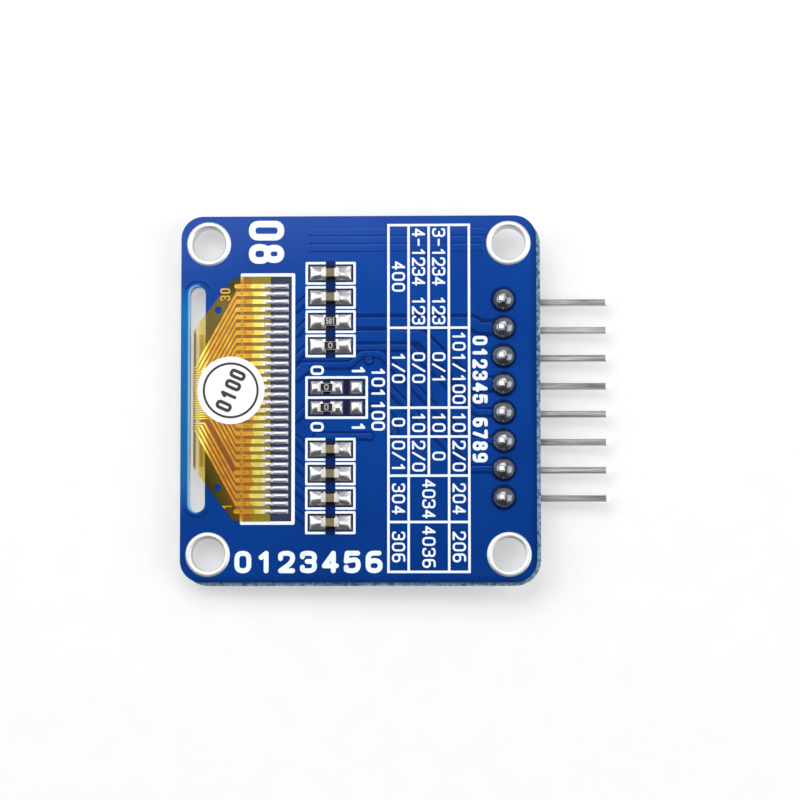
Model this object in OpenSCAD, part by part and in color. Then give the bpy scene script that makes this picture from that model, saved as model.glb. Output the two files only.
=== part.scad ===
// Small OLED display module, seen with its component side up.
// Millimetres. The origin is the centre of the four mounting holes, on the component face of the board.
// +X points to the pin header, +Z points out of the component face, and the display looks along -Z.

/* [Board] */
// Size of the board along X, from the cable side to the header side
board_w = 32; // [31:0.5:42]
// Size of the board along Y
board_h = 33; // [32:0.5:44]
// Thickness of the laminate
board_t = 1.6; // [1:0.1:2.4]
// Radius of the board's corners
corner_r = 2; // [0.5:0.25:3]
// How far the snapped web stands out on the header side
score_side = 0.35; // [0.1:0.05:0.5]
// How far the snapped web stands out on the lower side
score_foot = 0.3; // [0.05:0.05:0.5]

/* [Mounting holes] */
// Distance from the edges of the board to the middle of a mounting hole
hole_inset = 2.5; // [2.2:0.1:3]
// Clear diameter of a mounting hole
hole_d = 3; // [2:0.1:3.2]
// Width of the tinned ring round a mounting hole
ring_w = 0.5; // [0.3:0.05:0.8]
// Height of the rounded tin on a ring
ring_crown = 0.1; // [0.05:0.01:0.13]

/* [Copper and print] */
// Thickness of a tinned pad
pad_t = 0.04; // [0.03:0.01:0.08]
// Wall of a plated hole
plating_t = 0.035; // [0.02:0.005:0.06]
// Thickness of the white print
print_t = 0.025; // [0.01:0.005:0.03]
// Width of a printed line
line_w = 0.22; // [0.15:0.01:0.3]
// Width of the printed frame round the cable's end
cable_line_w = 0.3; // [0.2:0.02:0.4]

/* [Cable slot] */
// Length of the slot
slot_len = 20.4; // [18:0.2:24]
// Width of the board left outside the slot
slot_rail = 0.75; // [0.6:0.05:1.5]
// Clearance between the folded cable and the outer wall of the slot
fold_clear = 0.27; // [0.1:0.01:0.6]
// Offset of the fold's axis from the inner wall of the slot
fold_inset = 0.03; // [0:0.01:0.06]

/* [Flex cable] */
// Thickness of the film
film_t = 0.1; // [0.06:0.01:0.2]
// Thickness of the copper conductors
trace_t = 0.025; // [0.015:0.005:0.05]
// Distance from the slot to the soldered end of the film
film_reach = 5.89; // [5:0.1:8]
// Film left beside the outermost finger
film_margin = 0.68; // [0.4:0.02:1]
// Length of the wide part of the film
shoulder_l = 3.3; // [2.5:0.1:4]
// Radius of the film's shoulder
shoulder_r = 1; // [0.4:0.1:1.6]
// Width of the film where it folds
tail_w = 12; // [9:0.5:14]
// Pitch of the soldered fingers
finger_pitch = 0.7; // [0.6:0.05:0.75]
// Width of a finger
finger_w = 0.4; // [0.3:0.02:0.48]
// Length of a finger
finger_l = 3.1; // [2.4:0.1:3.6]
// Width of a slanted conductor
slant_w = 0.2; // [0.12:0.01:0.26]
// Angle of the slanted conductors from X
slant_angle = 61; // [56:1:66]
// Pitch of the conductors in the fold
lane_pitch = 0.21; // [0.16:0.01:0.26]
// Width of a conductor in the fold
lane_w = 0.11; // [0.06:0.01:0.13]
// Diameter of an alignment hole in the film
align_d = 0.63; // [0.4:0.05:0.9]
// Distance between the alignment holes
align_pitch = 16; // [14:0.25:17]
// Distance of the alignment holes from the shoulder
align_inset = 1.43; // [1.2:0.02:1.6]
// Length of a finger that its solder covers
solder_over = 0.4; // [0.2:0.05:0.8]
// Length of a landing pad past the end of the film
land_out = 1.6; // [1:0.1:1.75]
// Length of a landing pad under the film
land_in = 1.9; // [1:0.1:2.2]
// Diameter of the round sticker
sticker_d = 6.1; // [4:0.1:7]
// Thickness of the sticker
sticker_t = 0.06; // [0.04:0.01:0.12]
// Clear space between the sticker and the soldered fingers
sticker_clear = 0.13; // [0.05:0.01:0.4]
// Place of the sticker along Y
sticker_y = 0.74; // [-3:0.02:3]

/* [Display panel] */
// Size of the panel along X
panel_w = 19.26; // [17:0.1:22]
// Size of the panel along Y
panel_h = 26.7; // [24:0.1:28]
// Thickness of the substrate glass
glass_t = 0.7; // [0.5:0.05:1.1]
// Thickness of the rear cap
cap_t = 0.55; // [0.45:0.05:0.9]
// Thickness of the front polarizer
polarizer_t = 0.2; // [0.1:0.02:0.3]
// Thickness of the adhesive tape behind the panel
tape_t = 0.15; // [0.14:0.01:0.4]
// Distance from the slot to the edge of the panel
panel_gap = 2.28; // [1.5:0.1:3]
// Width of the bare glass ledge that carries the driver die
ledge_w = 4.3; // [3.8:0.1:5]
// Overlap of the film on the ledge
bond_l = 1.5; // [1:0.1:1.8]
// Driver die size along X
die_w = 0.9; // [0.7:0.05:1.2]
// Driver die size along Y
die_l = 6.8; // [5:0.1:9]
// Driver die thickness
die_t = 0.3; // [0.2:0.02:0.4]
// Size of the light-emitting area along X
active_w = 10.86; // [9:0.1:11.5]
// Size of the light-emitting area along Y
active_h = 21.74; // [18:0.1:22.5]

/* [Pin header] */
// Pitch of the pins
pin_pitch = 2.54; // [2:0.02:2.54]
// Side of a square pin
pin_side = 0.64; // [0.5:0.02:0.7]
// Distance from the header side of the board to the pin legs
header_inset = 2.97; // [2.8:0.05:4]
// Gap between the pin legs and the moulded bar
bar_gap = 0.79; // [0.7:0.05:1.2]
// Depth of the moulded bar along X
bar_w = 2.48; // [2:0.05:3]
// Height of the moulded bar
bar_t = 2.54; // [2.2:0.05:3]
// Chamfer along the edges of a pin
pin_chamfer = 0.1; // [0.05:0.01:0.15]
// Length of a pin past the bar
pin_reach = 6.3; // [4:0.1:12]
// Height of a pin's upper end above the board
pin_tail = 1.15; // [1:0.05:1.6]
// Lean of the upper end towards the cable
tail_lean = 10; // [0:1:14]
// Diameter of a solder pad round a pin
joint_d = 1.9; // [1.6:0.05:2]
// Height of a solder joint
joint_t = 0.75; // [0.5:0.05:0.85]

/* [Chip parts] */
// Length of a chip part
chip_l = 1.6; // [1.5:0.05:1.8]
// Width of a chip part
chip_w = 0.8; // [0.7:0.05:1]
// Height of a chip capacitor
capacitor_t = 0.8; // [0.5:0.05:0.9]
// Height of a chip resistor
resistor_t = 0.45; // [0.35:0.05:0.6]
// Length of a capacitor's metal end
capacitor_end_l = 0.42; // [0.2:0.02:0.5]
// Length of a resistor's metal end
resistor_end_l = 0.25; // [0.15:0.01:0.4]
// Wall of a metal end
end_t = 0.03; // [0.02:0.005:0.06]
// Length of a chip pad
chip_pad_l = 1.56; // [1.4:0.05:1.7]
// Width of a chip pad
chip_pad_w = 1.4; // [1.2:0.05:1.6]
// Gap between the two pads of a chip part
chip_pad_gap = 0.75; // [0.6:0.05:0.9]
// Length of a selector pad
link_pad_l = 1.23; // [1.1:0.05:1.4]
// Width of a selector pad
link_pad_w = 1.26; // [1.1:0.05:1.4]
// Gap between selector pads
link_pad_gap = 0.55; // [0.45:0.05:0.6]
// Clear space between the selector pads and their printed lines
link_gap = 0.165; // [0.08:0.005:0.25]
// Clear space between the outer selector pads and the ends of their frame
link_end_gap = 0.2; // [0.08:0.01:0.3]
// Distance from the end of the film to the middle of the chip column
chip_gap = 5.39; // [5.2:0.05:6]
// Distance from the middle of the board to the first row of chip parts
first_row = 4.66; // [4.4:0.1:5]
// Clear space between a pad and its printed frame
frame_gap = 0.11; // [0.05:0.01:0.15]
// Clear space between two printed frames
frame_space = 0.13; // [0.08:0.01:0.2]

/* [Printed table] */
// Width of a column
column_w = 1.81; // [1.5:0.05:1.9]
// Distance from the pin legs to the table
table_gap = 3.08; // [2:0.05:3.6]
// Distance from the top of the board to the table
table_inset = 0.85; // [0.4:0.05:1.2]

/* [Hidden] */
$fn = 64;
eps = 0.01;
finger_count = 30;
pin_count = 8;
rows_a_side = 4;
link_rows = 2;
column_resistors = 2;
capacitor_count = 2 * rows_a_side - column_resistors;
resistor_count = column_resistors + link_rows;
columns = 4;
table_row_h = [9.3, 7.2, 2.6, 3.5, 4.15, 4.45];
// The table's lower cells span two columns from this row line on
merged_from = 4;
// The web's other two sides stay inside the board by this much
score_lap = 0.2;
score_web_t = board_t / 3;

// Levels along Z, from the component face down to the front of the display
front_z = -board_t;
cap_z = front_z - tape_t;
glass_z = cap_z - cap_t;
polarizer_z = glass_z - glass_t;

// The fold: a half circle that joins the soldered end to the panel's ledge
trace_top = pad_t + film_t + trace_t;
trace_r = (trace_top - glass_z) / 2;
film_r = trace_r - trace_t;
film_in_r = film_r - film_t;
fold_z = trace_top - trace_r;
slot_w = trace_r - fold_inset + fold_clear;
slot_left = -board_w / 2 + slot_rail;
slot_right = slot_left + slot_w;
fold_x = slot_right + fold_inset;

// The film's plan
film_end = slot_right + film_reach;
film_w = (finger_count - 1) * finger_pitch + finger_w + 2 * film_margin;
shoulder_x = film_end - shoulder_l;
root_x = film_end - finger_l;
tail_x = fold_x - trace_r;
shoulder_turn = atan2(film_w / 2 - tail_w / 2, shoulder_x - tail_x);
align_x = shoulder_x - align_inset;
sticker_x = film_end - solder_over - sticker_clear - sticker_d / 2;
round_steps = 6;
cable_frame_in = 0.68;
cable_frame_out = 0.44;
cable_frame_gap = 0.15;

// The panel
panel_x = slot_right + panel_gap;
cap_x = panel_x + ledge_w;
cap_inset = 0.2;
cap_w = panel_w - ledge_w - cap_inset;
cap_h = panel_h - 2 * cap_inset;
tape_inset = 0.4;
polarizer_inset = 0.25;
cap_roof = 0.3;
seal_w = 1;
pocket_w = cap_w - 2 * seal_w;
pocket_h = cap_h - 2 * seal_w;
emitter_t = 0.02;
desiccant_t = 0.1;
desiccant_inset = 0.4;
cap_mid_x = cap_x + cap_w / 2;
die_x = panel_x + (bond_l + ledge_w) / 2;

// The header
header_x = board_w / 2 - header_inset;
pin_hole_clear = 0.05;
pin_hole_r = pin_side / sqrt(2) + pin_hole_clear;
pin_z = front_z - pad_t - bar_t / 2;
pin_bend_r = 0.6;
pin_taper_l = 0.32;
pin_tip_side = 0.36;
bar_chamfer = 0.4;
bar_x = header_x + bar_gap;
pin_end = bar_x + bar_w + pin_reach;

// The chip parts
chip_x = film_end + chip_gap;
chip_y = 0.08;
pad_inner = chip_pad_gap / 2;
pad_outer = pad_inner + chip_pad_l;
frame_l = 2 * (pad_outer + frame_gap) + line_w;
frame_h = chip_pad_w + 2 * frame_gap + line_w;
row_pitch = frame_h + line_w + frame_space;
frame_opening = 0.9;
link_pitch = link_pad_l + link_pad_gap;
link_row_pitch = link_pad_w + 2 * link_gap + line_w;
link_frame_l = 3 * link_pad_l + 2 * link_pad_gap + 2 * link_end_gap + line_w;
link_x = chip_x - frame_l / 2 + link_frame_l / 2;
link_part_x = link_x - link_pitch / 2;
solder_inset = 0.05;
solder_edge_t = 0.03;
solder_lip = 0.04;
solder_toe = 0.1;
flex_solder_t = 0.06;
chip_round = 0.06;
solder_rise_ratio = 0.62;
bare_solder_t = 0.22;
overcoat_t = 0.05;

// The table
table_right = header_x - table_gap;
table_left = table_right - columns * column_w;
table_top = board_h / 2 - table_inset;

// Places of the pads, pins and chip parts
function finger_y(i) = (i - (finger_count - 1) / 2) * finger_pitch;
function is_isolated(i) = i == 0 || i == 5 || i == finger_count - 1;
function lane_y(i) = (i - (finger_count - 1) / 2) * lane_pitch;
function pin_y(i) = ((pin_count + 1) / 2 - i) * pin_pitch;
function row_y(side, row) = chip_y + side * (first_row + row * row_pitch);
function link_y(row) = chip_y + ((link_rows - 1) / 2 - row) * link_row_pitch;
function table_y(k) = k == 0 ? table_top : table_y(k - 1) - table_row_h[k - 1];

// Capacitors fill the lower column and the outer half of the upper one, resistors the rest
capacitor_at = concat(
    [for (row = [rows_a_side - 1:-1:column_resistors]) [chip_x, row_y(1, row)]],
    [for (row = [0:rows_a_side - 1]) [chip_x, row_y(-1, row)]]
);
resistor_at = concat(
    [for (row = [column_resistors - 1:-1:0]) [chip_x, row_y(1, row)]],
    [for (row = [0:link_rows - 1]) [link_part_x, link_y(row)]]
);
function is_link(i) = i > column_resistors;

module mirrored_x() {
    children();
    mirror([1, 0, 0]) children();
}

module block(low, high) {
    translate(low) cube(high - low);
}

module rounded_rect(w, h, r) {
    square([w - 2 * r, h], center = true);
    square([w, h - 2 * r], center = true);
    for (x = [-1, 1])
        for (y = [-1, 1])
            translate([x * (w / 2 - r), y * (h / 2 - r)]) circle(r);
}

module chamfered_rect(w, h, c) {
    x = w / 2;
    y = h / 2;
    polygon([
        [-x, c - y], [c - x, -y], [x - c, -y], [x, c - y],
        [x, y - c], [x - c, y], [c - x, y], [-x, y - c]
    ]);
}

module at_mounting_holes() {
    for (x = [-1, 1])
        for (y = [-1, 1])
            translate([x * (board_w / 2 - hole_inset), y * (board_h / 2 - hole_inset), 0]) children();
}

module at_pins() {
    for (i = [1:pin_count])
        translate([header_x, pin_y(i), 0]) children();
}

// Board

// The web between two score grooves, left standing where the board was snapped off
module score_web() {
    web_w = board_w + score_side - score_lap;
    web_h = board_h + score_foot - score_lap;
    translate([(score_side + score_lap) / 2, -(score_foot + score_lap) / 2, (front_z - score_web_t) / 2])
        linear_extrude(score_web_t) rounded_rect(web_w, web_h, corner_r + score_side);
}

module slot_outline() {
    square([slot_w, slot_len - slot_w], center = true);
    for (y = [-1, 1])
        translate([0, y * (slot_len - slot_w) / 2]) circle(d = slot_w);
}

module board_blank() {
    translate([0, 0, front_z]) linear_extrude(board_t) rounded_rect(board_w, board_h, corner_r);
    score_web();
}

module circuit_board() {
    color("royalblue")
        difference() {
            board_blank();
            translate([(slot_left + slot_right) / 2, 0, front_z - eps])
                linear_extrude(board_t + 2 * eps) slot_outline();
            at_mounting_holes()
                translate([0, 0, front_z - eps]) cylinder(r = hole_d / 2 + plating_t, h = board_t + 2 * eps);
            at_pins()
                translate([0, 0, front_z - eps]) cylinder(r = pin_hole_r + plating_t, h = board_t + 2 * eps);
        }
}

// Section of the tin on one face of a ring, as a low round crown
module ring_crown_section() {
    crown_r = (pow(ring_w / 2, 2) + pow(ring_crown, 2)) / (2 * ring_crown);
    intersection() {
        translate([hole_d / 2 + ring_w / 2, ring_crown - crown_r]) circle(crown_r);
        translate([hole_d / 2, 0]) square([ring_w, ring_crown]);
    }
}

module mounting_hole_plating() {
    color("silver")
        at_mounting_holes()
            rotate_extrude() {
                ring_crown_section();
                translate([0, front_z]) mirror([0, 1]) ring_crown_section();
                translate([hole_d / 2, front_z]) square([plating_t, board_t]);
            }
}

module header_hole_plating() {
    color("silver")
        at_pins()
            rotate_extrude() {
                translate([pin_hole_r, front_z - pad_t]) square([plating_t, board_t + 2 * pad_t]);
                for (z = [0, front_z - pad_t])
                    translate([pin_hole_r, z]) square([joint_d / 2 - pin_hole_r, pad_t]);
            }
}

module flex_landing_pads() {
    color("silver")
        for (i = [0:finger_count - 1])
            block([film_end - land_in, finger_y(i) - finger_w / 2, 0],
                  [film_end + land_out, finger_y(i) + finger_w / 2, pad_t]);
}

module component_pads() {
    color("silver") {
        for (side = [-1, 1])
            for (row = [0:rows_a_side - 1])
                translate([chip_x, row_y(side, row), 0])
                    mirrored_x()
                        block([pad_inner, -chip_pad_w / 2, 0], [pad_outer, chip_pad_w / 2, pad_t]);
        for (row = [0:link_rows - 1])
            for (k = [-1:1])
                translate([link_x + k * link_pitch, link_y(row), 0])
                    block([-link_pad_l / 2, -link_pad_w / 2, 0], [link_pad_l / 2, link_pad_w / 2, pad_t]);
    }
}

// Printed frames, as outlines

module frame_outline(w, h, line) {
    difference() {
        rounded_rect(w + line, h + line, line / 2);
        square([w - line, h - line], center = true);
    }
}

module chip_frame() {
    difference() {
        frame_outline(frame_l, frame_h, line_w);
        square([frame_opening, frame_h + 2 * line_w], center = true);
    }
}

module cable_frame() {
    left = film_end - land_in - cable_frame_in;
    right = film_end + land_out + cable_frame_out;
    translate([(left + right) / 2, 0])
        frame_outline(right - left, film_w + 2 * cable_frame_gap, cable_line_w);
}

module link_frame() {
    translate([link_x, chip_y]) {
        frame_outline(link_frame_l, 2 * link_row_pitch, line_w);
        square([link_frame_l, line_w], center = true);
    }
}

module table_grid() {
    last = len(table_row_h);
    for (k = [0:last])
        translate([table_left - line_w / 2, table_y(k) - line_w / 2])
            square([columns * column_w + line_w, line_w]);
    for (c = [0:columns]) {
        low = c == columns / 2 ? table_y(merged_from) : table_y(last);
        translate([table_left + c * column_w - line_w / 2, low]) square([line_w, table_top - low]);
    }
}

module legend_print() {
    color("white")
        linear_extrude(print_t) {
            cable_frame();
            link_frame();
            table_grid();
            for (side = [-1, 1])
                for (row = [0:rows_a_side - 1])
                    translate([chip_x, row_y(side, row)]) chip_frame();
        }
}

// Display panel

module oled_substrate_glass() {
    color("lightcyan")
        block([panel_x, -panel_h / 2, polarizer_z], [panel_x + panel_w, panel_h / 2, glass_z]);
}

module oled_rear_cap() {
    color("gray")
        difference() {
            block([cap_x, -cap_h / 2, glass_z], [cap_x + cap_w, cap_h / 2, cap_z]);
            translate([cap_mid_x, 0, glass_z - eps])
                linear_extrude(cap_t - cap_roof + eps) square([pocket_w, pocket_h], center = true);
        }
}

module emitter_layer() {
    color("black")
        translate([cap_mid_x, 0, glass_z])
            linear_extrude(emitter_t) square([active_w, active_h], center = true);
}

module desiccant_sheet() {
    color("ivory")
        translate([cap_mid_x, 0, cap_z - cap_roof - desiccant_t])
            linear_extrude(desiccant_t)
                square([pocket_w - 2 * desiccant_inset, pocket_h - 2 * desiccant_inset], center = true);
}

module front_polarizer() {
    color("black")
        block([cap_x, -panel_h / 2 + polarizer_inset, polarizer_z - polarizer_t],
              [panel_x + panel_w - polarizer_inset, panel_h / 2 - polarizer_inset, polarizer_z]);
}

module driver_chip() {
    color("dimgray")
        block([die_x - die_w / 2, -die_l / 2, glass_z], [die_x + die_w / 2, die_l / 2, glass_z + die_t]);
}

module adhesive_tape() {
    color("wheat")
        block([cap_x + tape_inset, -cap_h / 2 + tape_inset, cap_z],
              [cap_x + cap_w - tape_inset, cap_h / 2 - tape_inset, front_z]);
}

// Flex cable

// Section through the fold: a half ring with a straight run above and one below
module fold_section(r_in, r_out, run_top, run_bottom) {
    intersection() {
        difference() {
            circle(r_out);
            circle(r_in);
        }
        translate([-r_out, -r_out]) square([r_out, 2 * r_out]);
    }
    if (run_top > 0)
        translate([0, r_in]) square([run_top, r_out - r_in]);
    if (run_bottom > 0)
        translate([0, -r_out]) square([run_bottom, r_out - r_in]);
}

module fold_sheet(r_in, r_out, run_top, run_bottom, width) {
    translate([fold_x, 0, fold_z])
        rotate([90, 0, 0])
            linear_extrude(width, center = true) fold_section(r_in, r_out, run_top, run_bottom);
}

// Plan of the soldered end, from the fold's outermost line to the row of fingers
module film_plan() {
    arc_x = shoulder_x + shoulder_r * tan(shoulder_turn / 2);
    arc_y = film_w / 2 - shoulder_r;
    shoulder = [for (k = [0:round_steps])
        let (a = 90 + shoulder_turn * k / round_steps)
            [arc_x + shoulder_r * cos(a), arc_y + shoulder_r * sin(a)]];
    upper = concat([[film_end, film_w / 2]], shoulder, [[tail_x, tail_w / 2]]);
    lower = [for (k = [len(upper) - 1:-1:0]) [upper[k][0], -upper[k][1]]];
    polygon(concat(upper, lower));
}

module flex_film() {
    color("goldenrod")
        difference() {
            union() {
                intersection() {
                    fold_sheet(film_in_r, film_r, film_end - fold_x, 0, film_w);
                    translate([0, 0, fold_z]) linear_extrude(trace_r) film_plan();
                }
                intersection() {
                    fold_sheet(film_in_r, film_r, 0, panel_x + bond_l - fold_x, tail_w);
                    block([tail_x, -tail_w / 2, fold_z - trace_r], [panel_x + panel_w, tail_w / 2, fold_z]);
                }
            }
            for (y = [-1, 1])
                translate([align_x, y * align_pitch / 2, 0]) cylinder(d = align_d, h = trace_top);
        }
}

// A finger, then a slanted run in towards the middle of the film, then a lane into the fold
module fan_trace(i) {
    side = sign(finger_y(i));
    y = abs(finger_y(i));
    half = finger_w / 2;
    lane_in = abs(lane_y(i)) - lane_w / 2;
    lane_out = lane_in + lane_w;
    half_x = slant_w / 2 / sin(slant_angle);
    function run_x(at) = root_x - (y - at) / tan(slant_angle);
    outline = [
        [film_end, y + half], [root_x, y + half], [run_x(y) - half_x, y],
        [run_x(lane_out) - half_x, lane_out], [tail_x, lane_out],
        [tail_x, lane_in], [run_x(lane_in) + half_x, lane_in],
        [run_x(y - half) + half_x, y - half], [film_end, y - half]
    ];
    polygon([for (p = outline) [p[0], side * p[1]]]);
}

// A finger with a round end that leads nowhere
module short_finger(i) {
    translate([root_x, finger_y(i) - finger_w / 2]) square([finger_l, finger_w]);
    translate([root_x, finger_y(i)]) circle(d = finger_w);
}

module flex_traces() {
    color("orange") {
        intersection() {
            fold_sheet(film_r, trace_r, film_end - fold_x, 0, film_w);
            translate([0, 0, fold_z])
                linear_extrude(2 * trace_r)
                    for (i = [0:finger_count - 1])
                        if (is_isolated(i)) short_finger(i);
                        else fan_trace(i);
        }
        intersection() {
            fold_sheet(film_r, trace_r, 0, panel_x + bond_l - fold_x, film_w);
            for (i = [0:finger_count - 1])
                if (!is_isolated(i))
                    block([tail_x, lane_y(i) - lane_w / 2, fold_z - 2 * trace_r],
                          [panel_x + panel_w, lane_y(i) + lane_w / 2, fold_z]);
        }
    }
}

// Section of one solder joint: over the end of a finger and down to its landing pad
module flex_solder_section() {
    crest = trace_top + flex_solder_t;
    toe = land_out - solder_toe;
    polygon([
        [-solder_over, trace_top], [0, trace_top], [0, pad_t], [toe, pad_t],
        [toe - solder_edge_t, pad_t + solder_edge_t], [land_out / 2, pad_t + flex_solder_t],
        [solder_toe, crest], [-solder_over / 2, crest]
    ]);
}

module flex_solder() {
    color("silver")
        for (i = [0:finger_count - 1])
            translate([film_end, finger_y(i), 0])
                rotate([90, 0, 0])
                    linear_extrude(finger_w - 2 * solder_edge_t, center = true) flex_solder_section();
}

module inspection_sticker() {
    color("white")
        intersection() {
            fold_sheet(trace_r, trace_r + sticker_t, film_end - fold_x, 0, film_w);
            translate([sticker_x, sticker_y, fold_z]) cylinder(d = sticker_d, h = 2 * trace_r);
        }
}

// Pin header

module header_body() {
    color("#202020")
        difference() {
            for (i = [1:pin_count])
                translate([bar_x, pin_y(i), pin_z])
                    rotate([90, 0, 90])
                        linear_extrude(bar_w) chamfered_rect(pin_pitch, bar_t, bar_chamfer);
            for (i = [1:pin_count])
                translate([bar_x + bar_w / 2, pin_y(i), pin_z])
                    rotate([0, 90, 0]) linear_extrude(2 * bar_w, center = true) pin_section();
        }
}

module pin_section() {
    chamfered_rect(pin_side, pin_side, pin_chamfer);
}

module pin_side_view(length) {
    a = pin_side / 2;
    b = pin_tip_side / 2;
    shoulder = length - pin_taper_l;
    polygon([[0, -a], [shoulder, -a], [length, -b], [length, b], [shoulder, a], [0, a]]);
}

// A straight square pin along X with a tapered end
module tapered_pin(length) {
    intersection() {
        rotate([90, 0, 90]) linear_extrude(length) pin_section();
        linear_extrude(pin_side, center = true) pin_side_view(length);
        rotate([90, 0, 0]) linear_extrude(pin_side, center = true) pin_side_view(length);
    }
}

// The leg of a pin inside its hole, with its tapered end leaning above the board
module pin_leg() {
    leg_low = pin_z + pin_bend_r;
    translate([0, 0, leg_low]) linear_extrude(-leg_low) pin_section();
    rotate([0, -tail_lean, 0])
        translate([0, 0, -pin_side / 2]) rotate([0, -90, 0]) tapered_pin(pin_tail + pin_side / 2);
}

module header_pin(i) {
    color("gainsboro")
        translate([header_x, pin_y(i), 0]) {
            pin_leg();
            translate([pin_bend_r, 0, pin_z + pin_bend_r])
                rotate([90, 180, 0])
                    rotate_extrude(angle = 90)
                        translate([pin_bend_r, 0]) pin_section();
            translate([pin_bend_r, 0, pin_z]) tapered_pin(pin_end - header_x - pin_bend_r);
        }
}

// A full round joint on the pad, with solder drawn down through the hole
module solder_joint() {
    base_r = joint_d / 2;
    ball_r = (pow(base_r, 2) + pow(joint_t, 2)) / (2 * joint_t);
    difference() {
        union() {
            intersection() {
                translate([0, 0, pad_t + joint_t - ball_r]) sphere(ball_r);
                translate([0, 0, pad_t]) cylinder(r = base_r, h = joint_t);
            }
            translate([0, 0, front_z - pad_t]) cylinder(r = pin_hole_r, h = board_t + 2 * pad_t);
        }
        pin_leg();
    }
}

module header_solder() {
    color("silver") at_pins() solder_joint();
}

// Chip parts

module chip_section(height, inset) {
    translate([0, height / 2]) rounded_rect(chip_w - 2 * inset, height - 2 * inset, chip_round);
}

// A length of a chip along X, resting on its pads
module chip_length(from, to, height, inset) {
    translate([from, 0, pad_t])
        rotate([90, 0, 90])
            linear_extrude(to - from) chip_section(height, inset);
}

module chip_core(height) {
    chip_length(-chip_l / 2 + end_t, chip_l / 2 - end_t, height, end_t);
}

module chip_ends(height, length) {
    difference() {
        mirrored_x() chip_length(chip_l / 2 - length, chip_l / 2, height, 0);
        chip_core(height);
    }
}

module capacitor(i) {
    color("tan") translate(capacitor_at[i - 1]) chip_core(capacitor_t);
}

module resistor(i) {
    color("ivory") translate(resistor_at[i - 1]) chip_core(resistor_t);
}

module capacitor_end_caps() {
    color("silver")
        for (place = capacitor_at)
            translate(place) chip_ends(capacitor_t, capacitor_end_l);
}

module resistor_end_caps() {
    color("silver")
        for (place = resistor_at)
            translate(place) chip_ends(resistor_t, resistor_end_l);
}

module resistor_overcoat() {
    color("#181818")
        for (place = resistor_at)
            translate([place[0], place[1], pad_t + resistor_t - end_t])
                linear_extrude(overcoat_t)
                    square([chip_l - 2 * resistor_end_l - 2 * end_t, chip_w - 4 * end_t], center = true);
}

// Solder on one pad, drawn up the end of a chip in a hollow curve
module solder_fillet(inner, outer, width, height) {
    low_x = inner + solder_inset;
    high_x = outer - solder_inset;
    side_y = width / 2 - solder_inset;
    rise = height * solder_rise_ratio;
    lip_y = chip_w / 2 + solder_lip;
    run = high_x - chip_l / 2 - solder_lip;
    hollow_r = (pow(run, 2) + pow(rise - solder_edge_t, 2)) / (2 * (rise - solder_edge_t));
    translate([0, 0, pad_t])
        difference() {
            intersection() {
                rotate([90, 0, 0])
                    linear_extrude(width, center = true)
                        difference() {
                            translate([low_x, 0]) square([high_x - low_x, rise]);
                            translate([high_x, solder_edge_t + hollow_r]) circle(hollow_r);
                        }
                rotate([90, 0, 90])
                    linear_extrude(outer)
                        polygon([
                            [-side_y, 0], [side_y, 0], [side_y, solder_edge_t], [lip_y, rise],
                            [-lip_y, rise], [-side_y, solder_edge_t]
                        ]);
            }
            translate([0, 0, height / 2]) cube([chip_l, chip_w, height], center = true);
        }
}

// A low cushion of solder on a pad that carries no part
module bare_solder(l, w) {
    round_x = (pow(l / 2, 2) + pow(bare_solder_t, 2)) / (2 * bare_solder_t);
    round_y = (pow(w / 2, 2) + pow(bare_solder_t, 2)) / (2 * bare_solder_t);
    translate([0, 0, pad_t])
        intersection() {
            translate([0, 0, bare_solder_t - round_x])
                rotate([90, 0, 0]) cylinder(r = round_x, h = w, center = true);
            translate([0, 0, bare_solder_t - round_y])
                rotate([0, 90, 0]) cylinder(r = round_y, h = l, center = true);
            translate([0, 0, bare_solder_t / 2]) cube([l, w, bare_solder_t], center = true);
        }
}

module component_solder() {
    link_inner = link_pad_gap / 2;
    link_outer = link_inner + link_pad_l;
    color("silver") {
        for (place = capacitor_at)
            translate(place)
                mirrored_x() solder_fillet(pad_inner, pad_outer, chip_pad_w, capacitor_t);
        for (i = [1:resistor_count])
            translate(resistor_at[i - 1])
                mirrored_x()
                    if (is_link(i)) solder_fillet(link_inner, link_outer, link_pad_w, resistor_t);
                    else solder_fillet(pad_inner, pad_outer, chip_pad_w, resistor_t);
        for (row = [0:link_rows - 1])
            translate([link_x + link_pitch, link_y(row), 0])
                bare_solder(link_pad_l - 2 * solder_inset, link_pad_w - 2 * solder_inset);
    }
}

circuit_board();
mounting_hole_plating();
header_hole_plating();
flex_landing_pads();
component_pads();
legend_print();
oled_substrate_glass();
oled_rear_cap();
emitter_layer();
desiccant_sheet();
front_polarizer();
driver_chip();
adhesive_tape();
flex_film();
flex_traces();
flex_solder();
inspection_sticker();
header_body();
header_solder();
capacitor_end_caps();
resistor_end_caps();
resistor_overcoat();
component_solder();
for (i = [1:pin_count])
    header_pin(i);
for (i = [1:capacitor_count])
    capacitor(i);
for (i = [1:resistor_count])
    resistor(i);
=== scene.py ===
import math
import random
from types import SimpleNamespace

import bpy
from mathutils import Matrix, Vector


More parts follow.
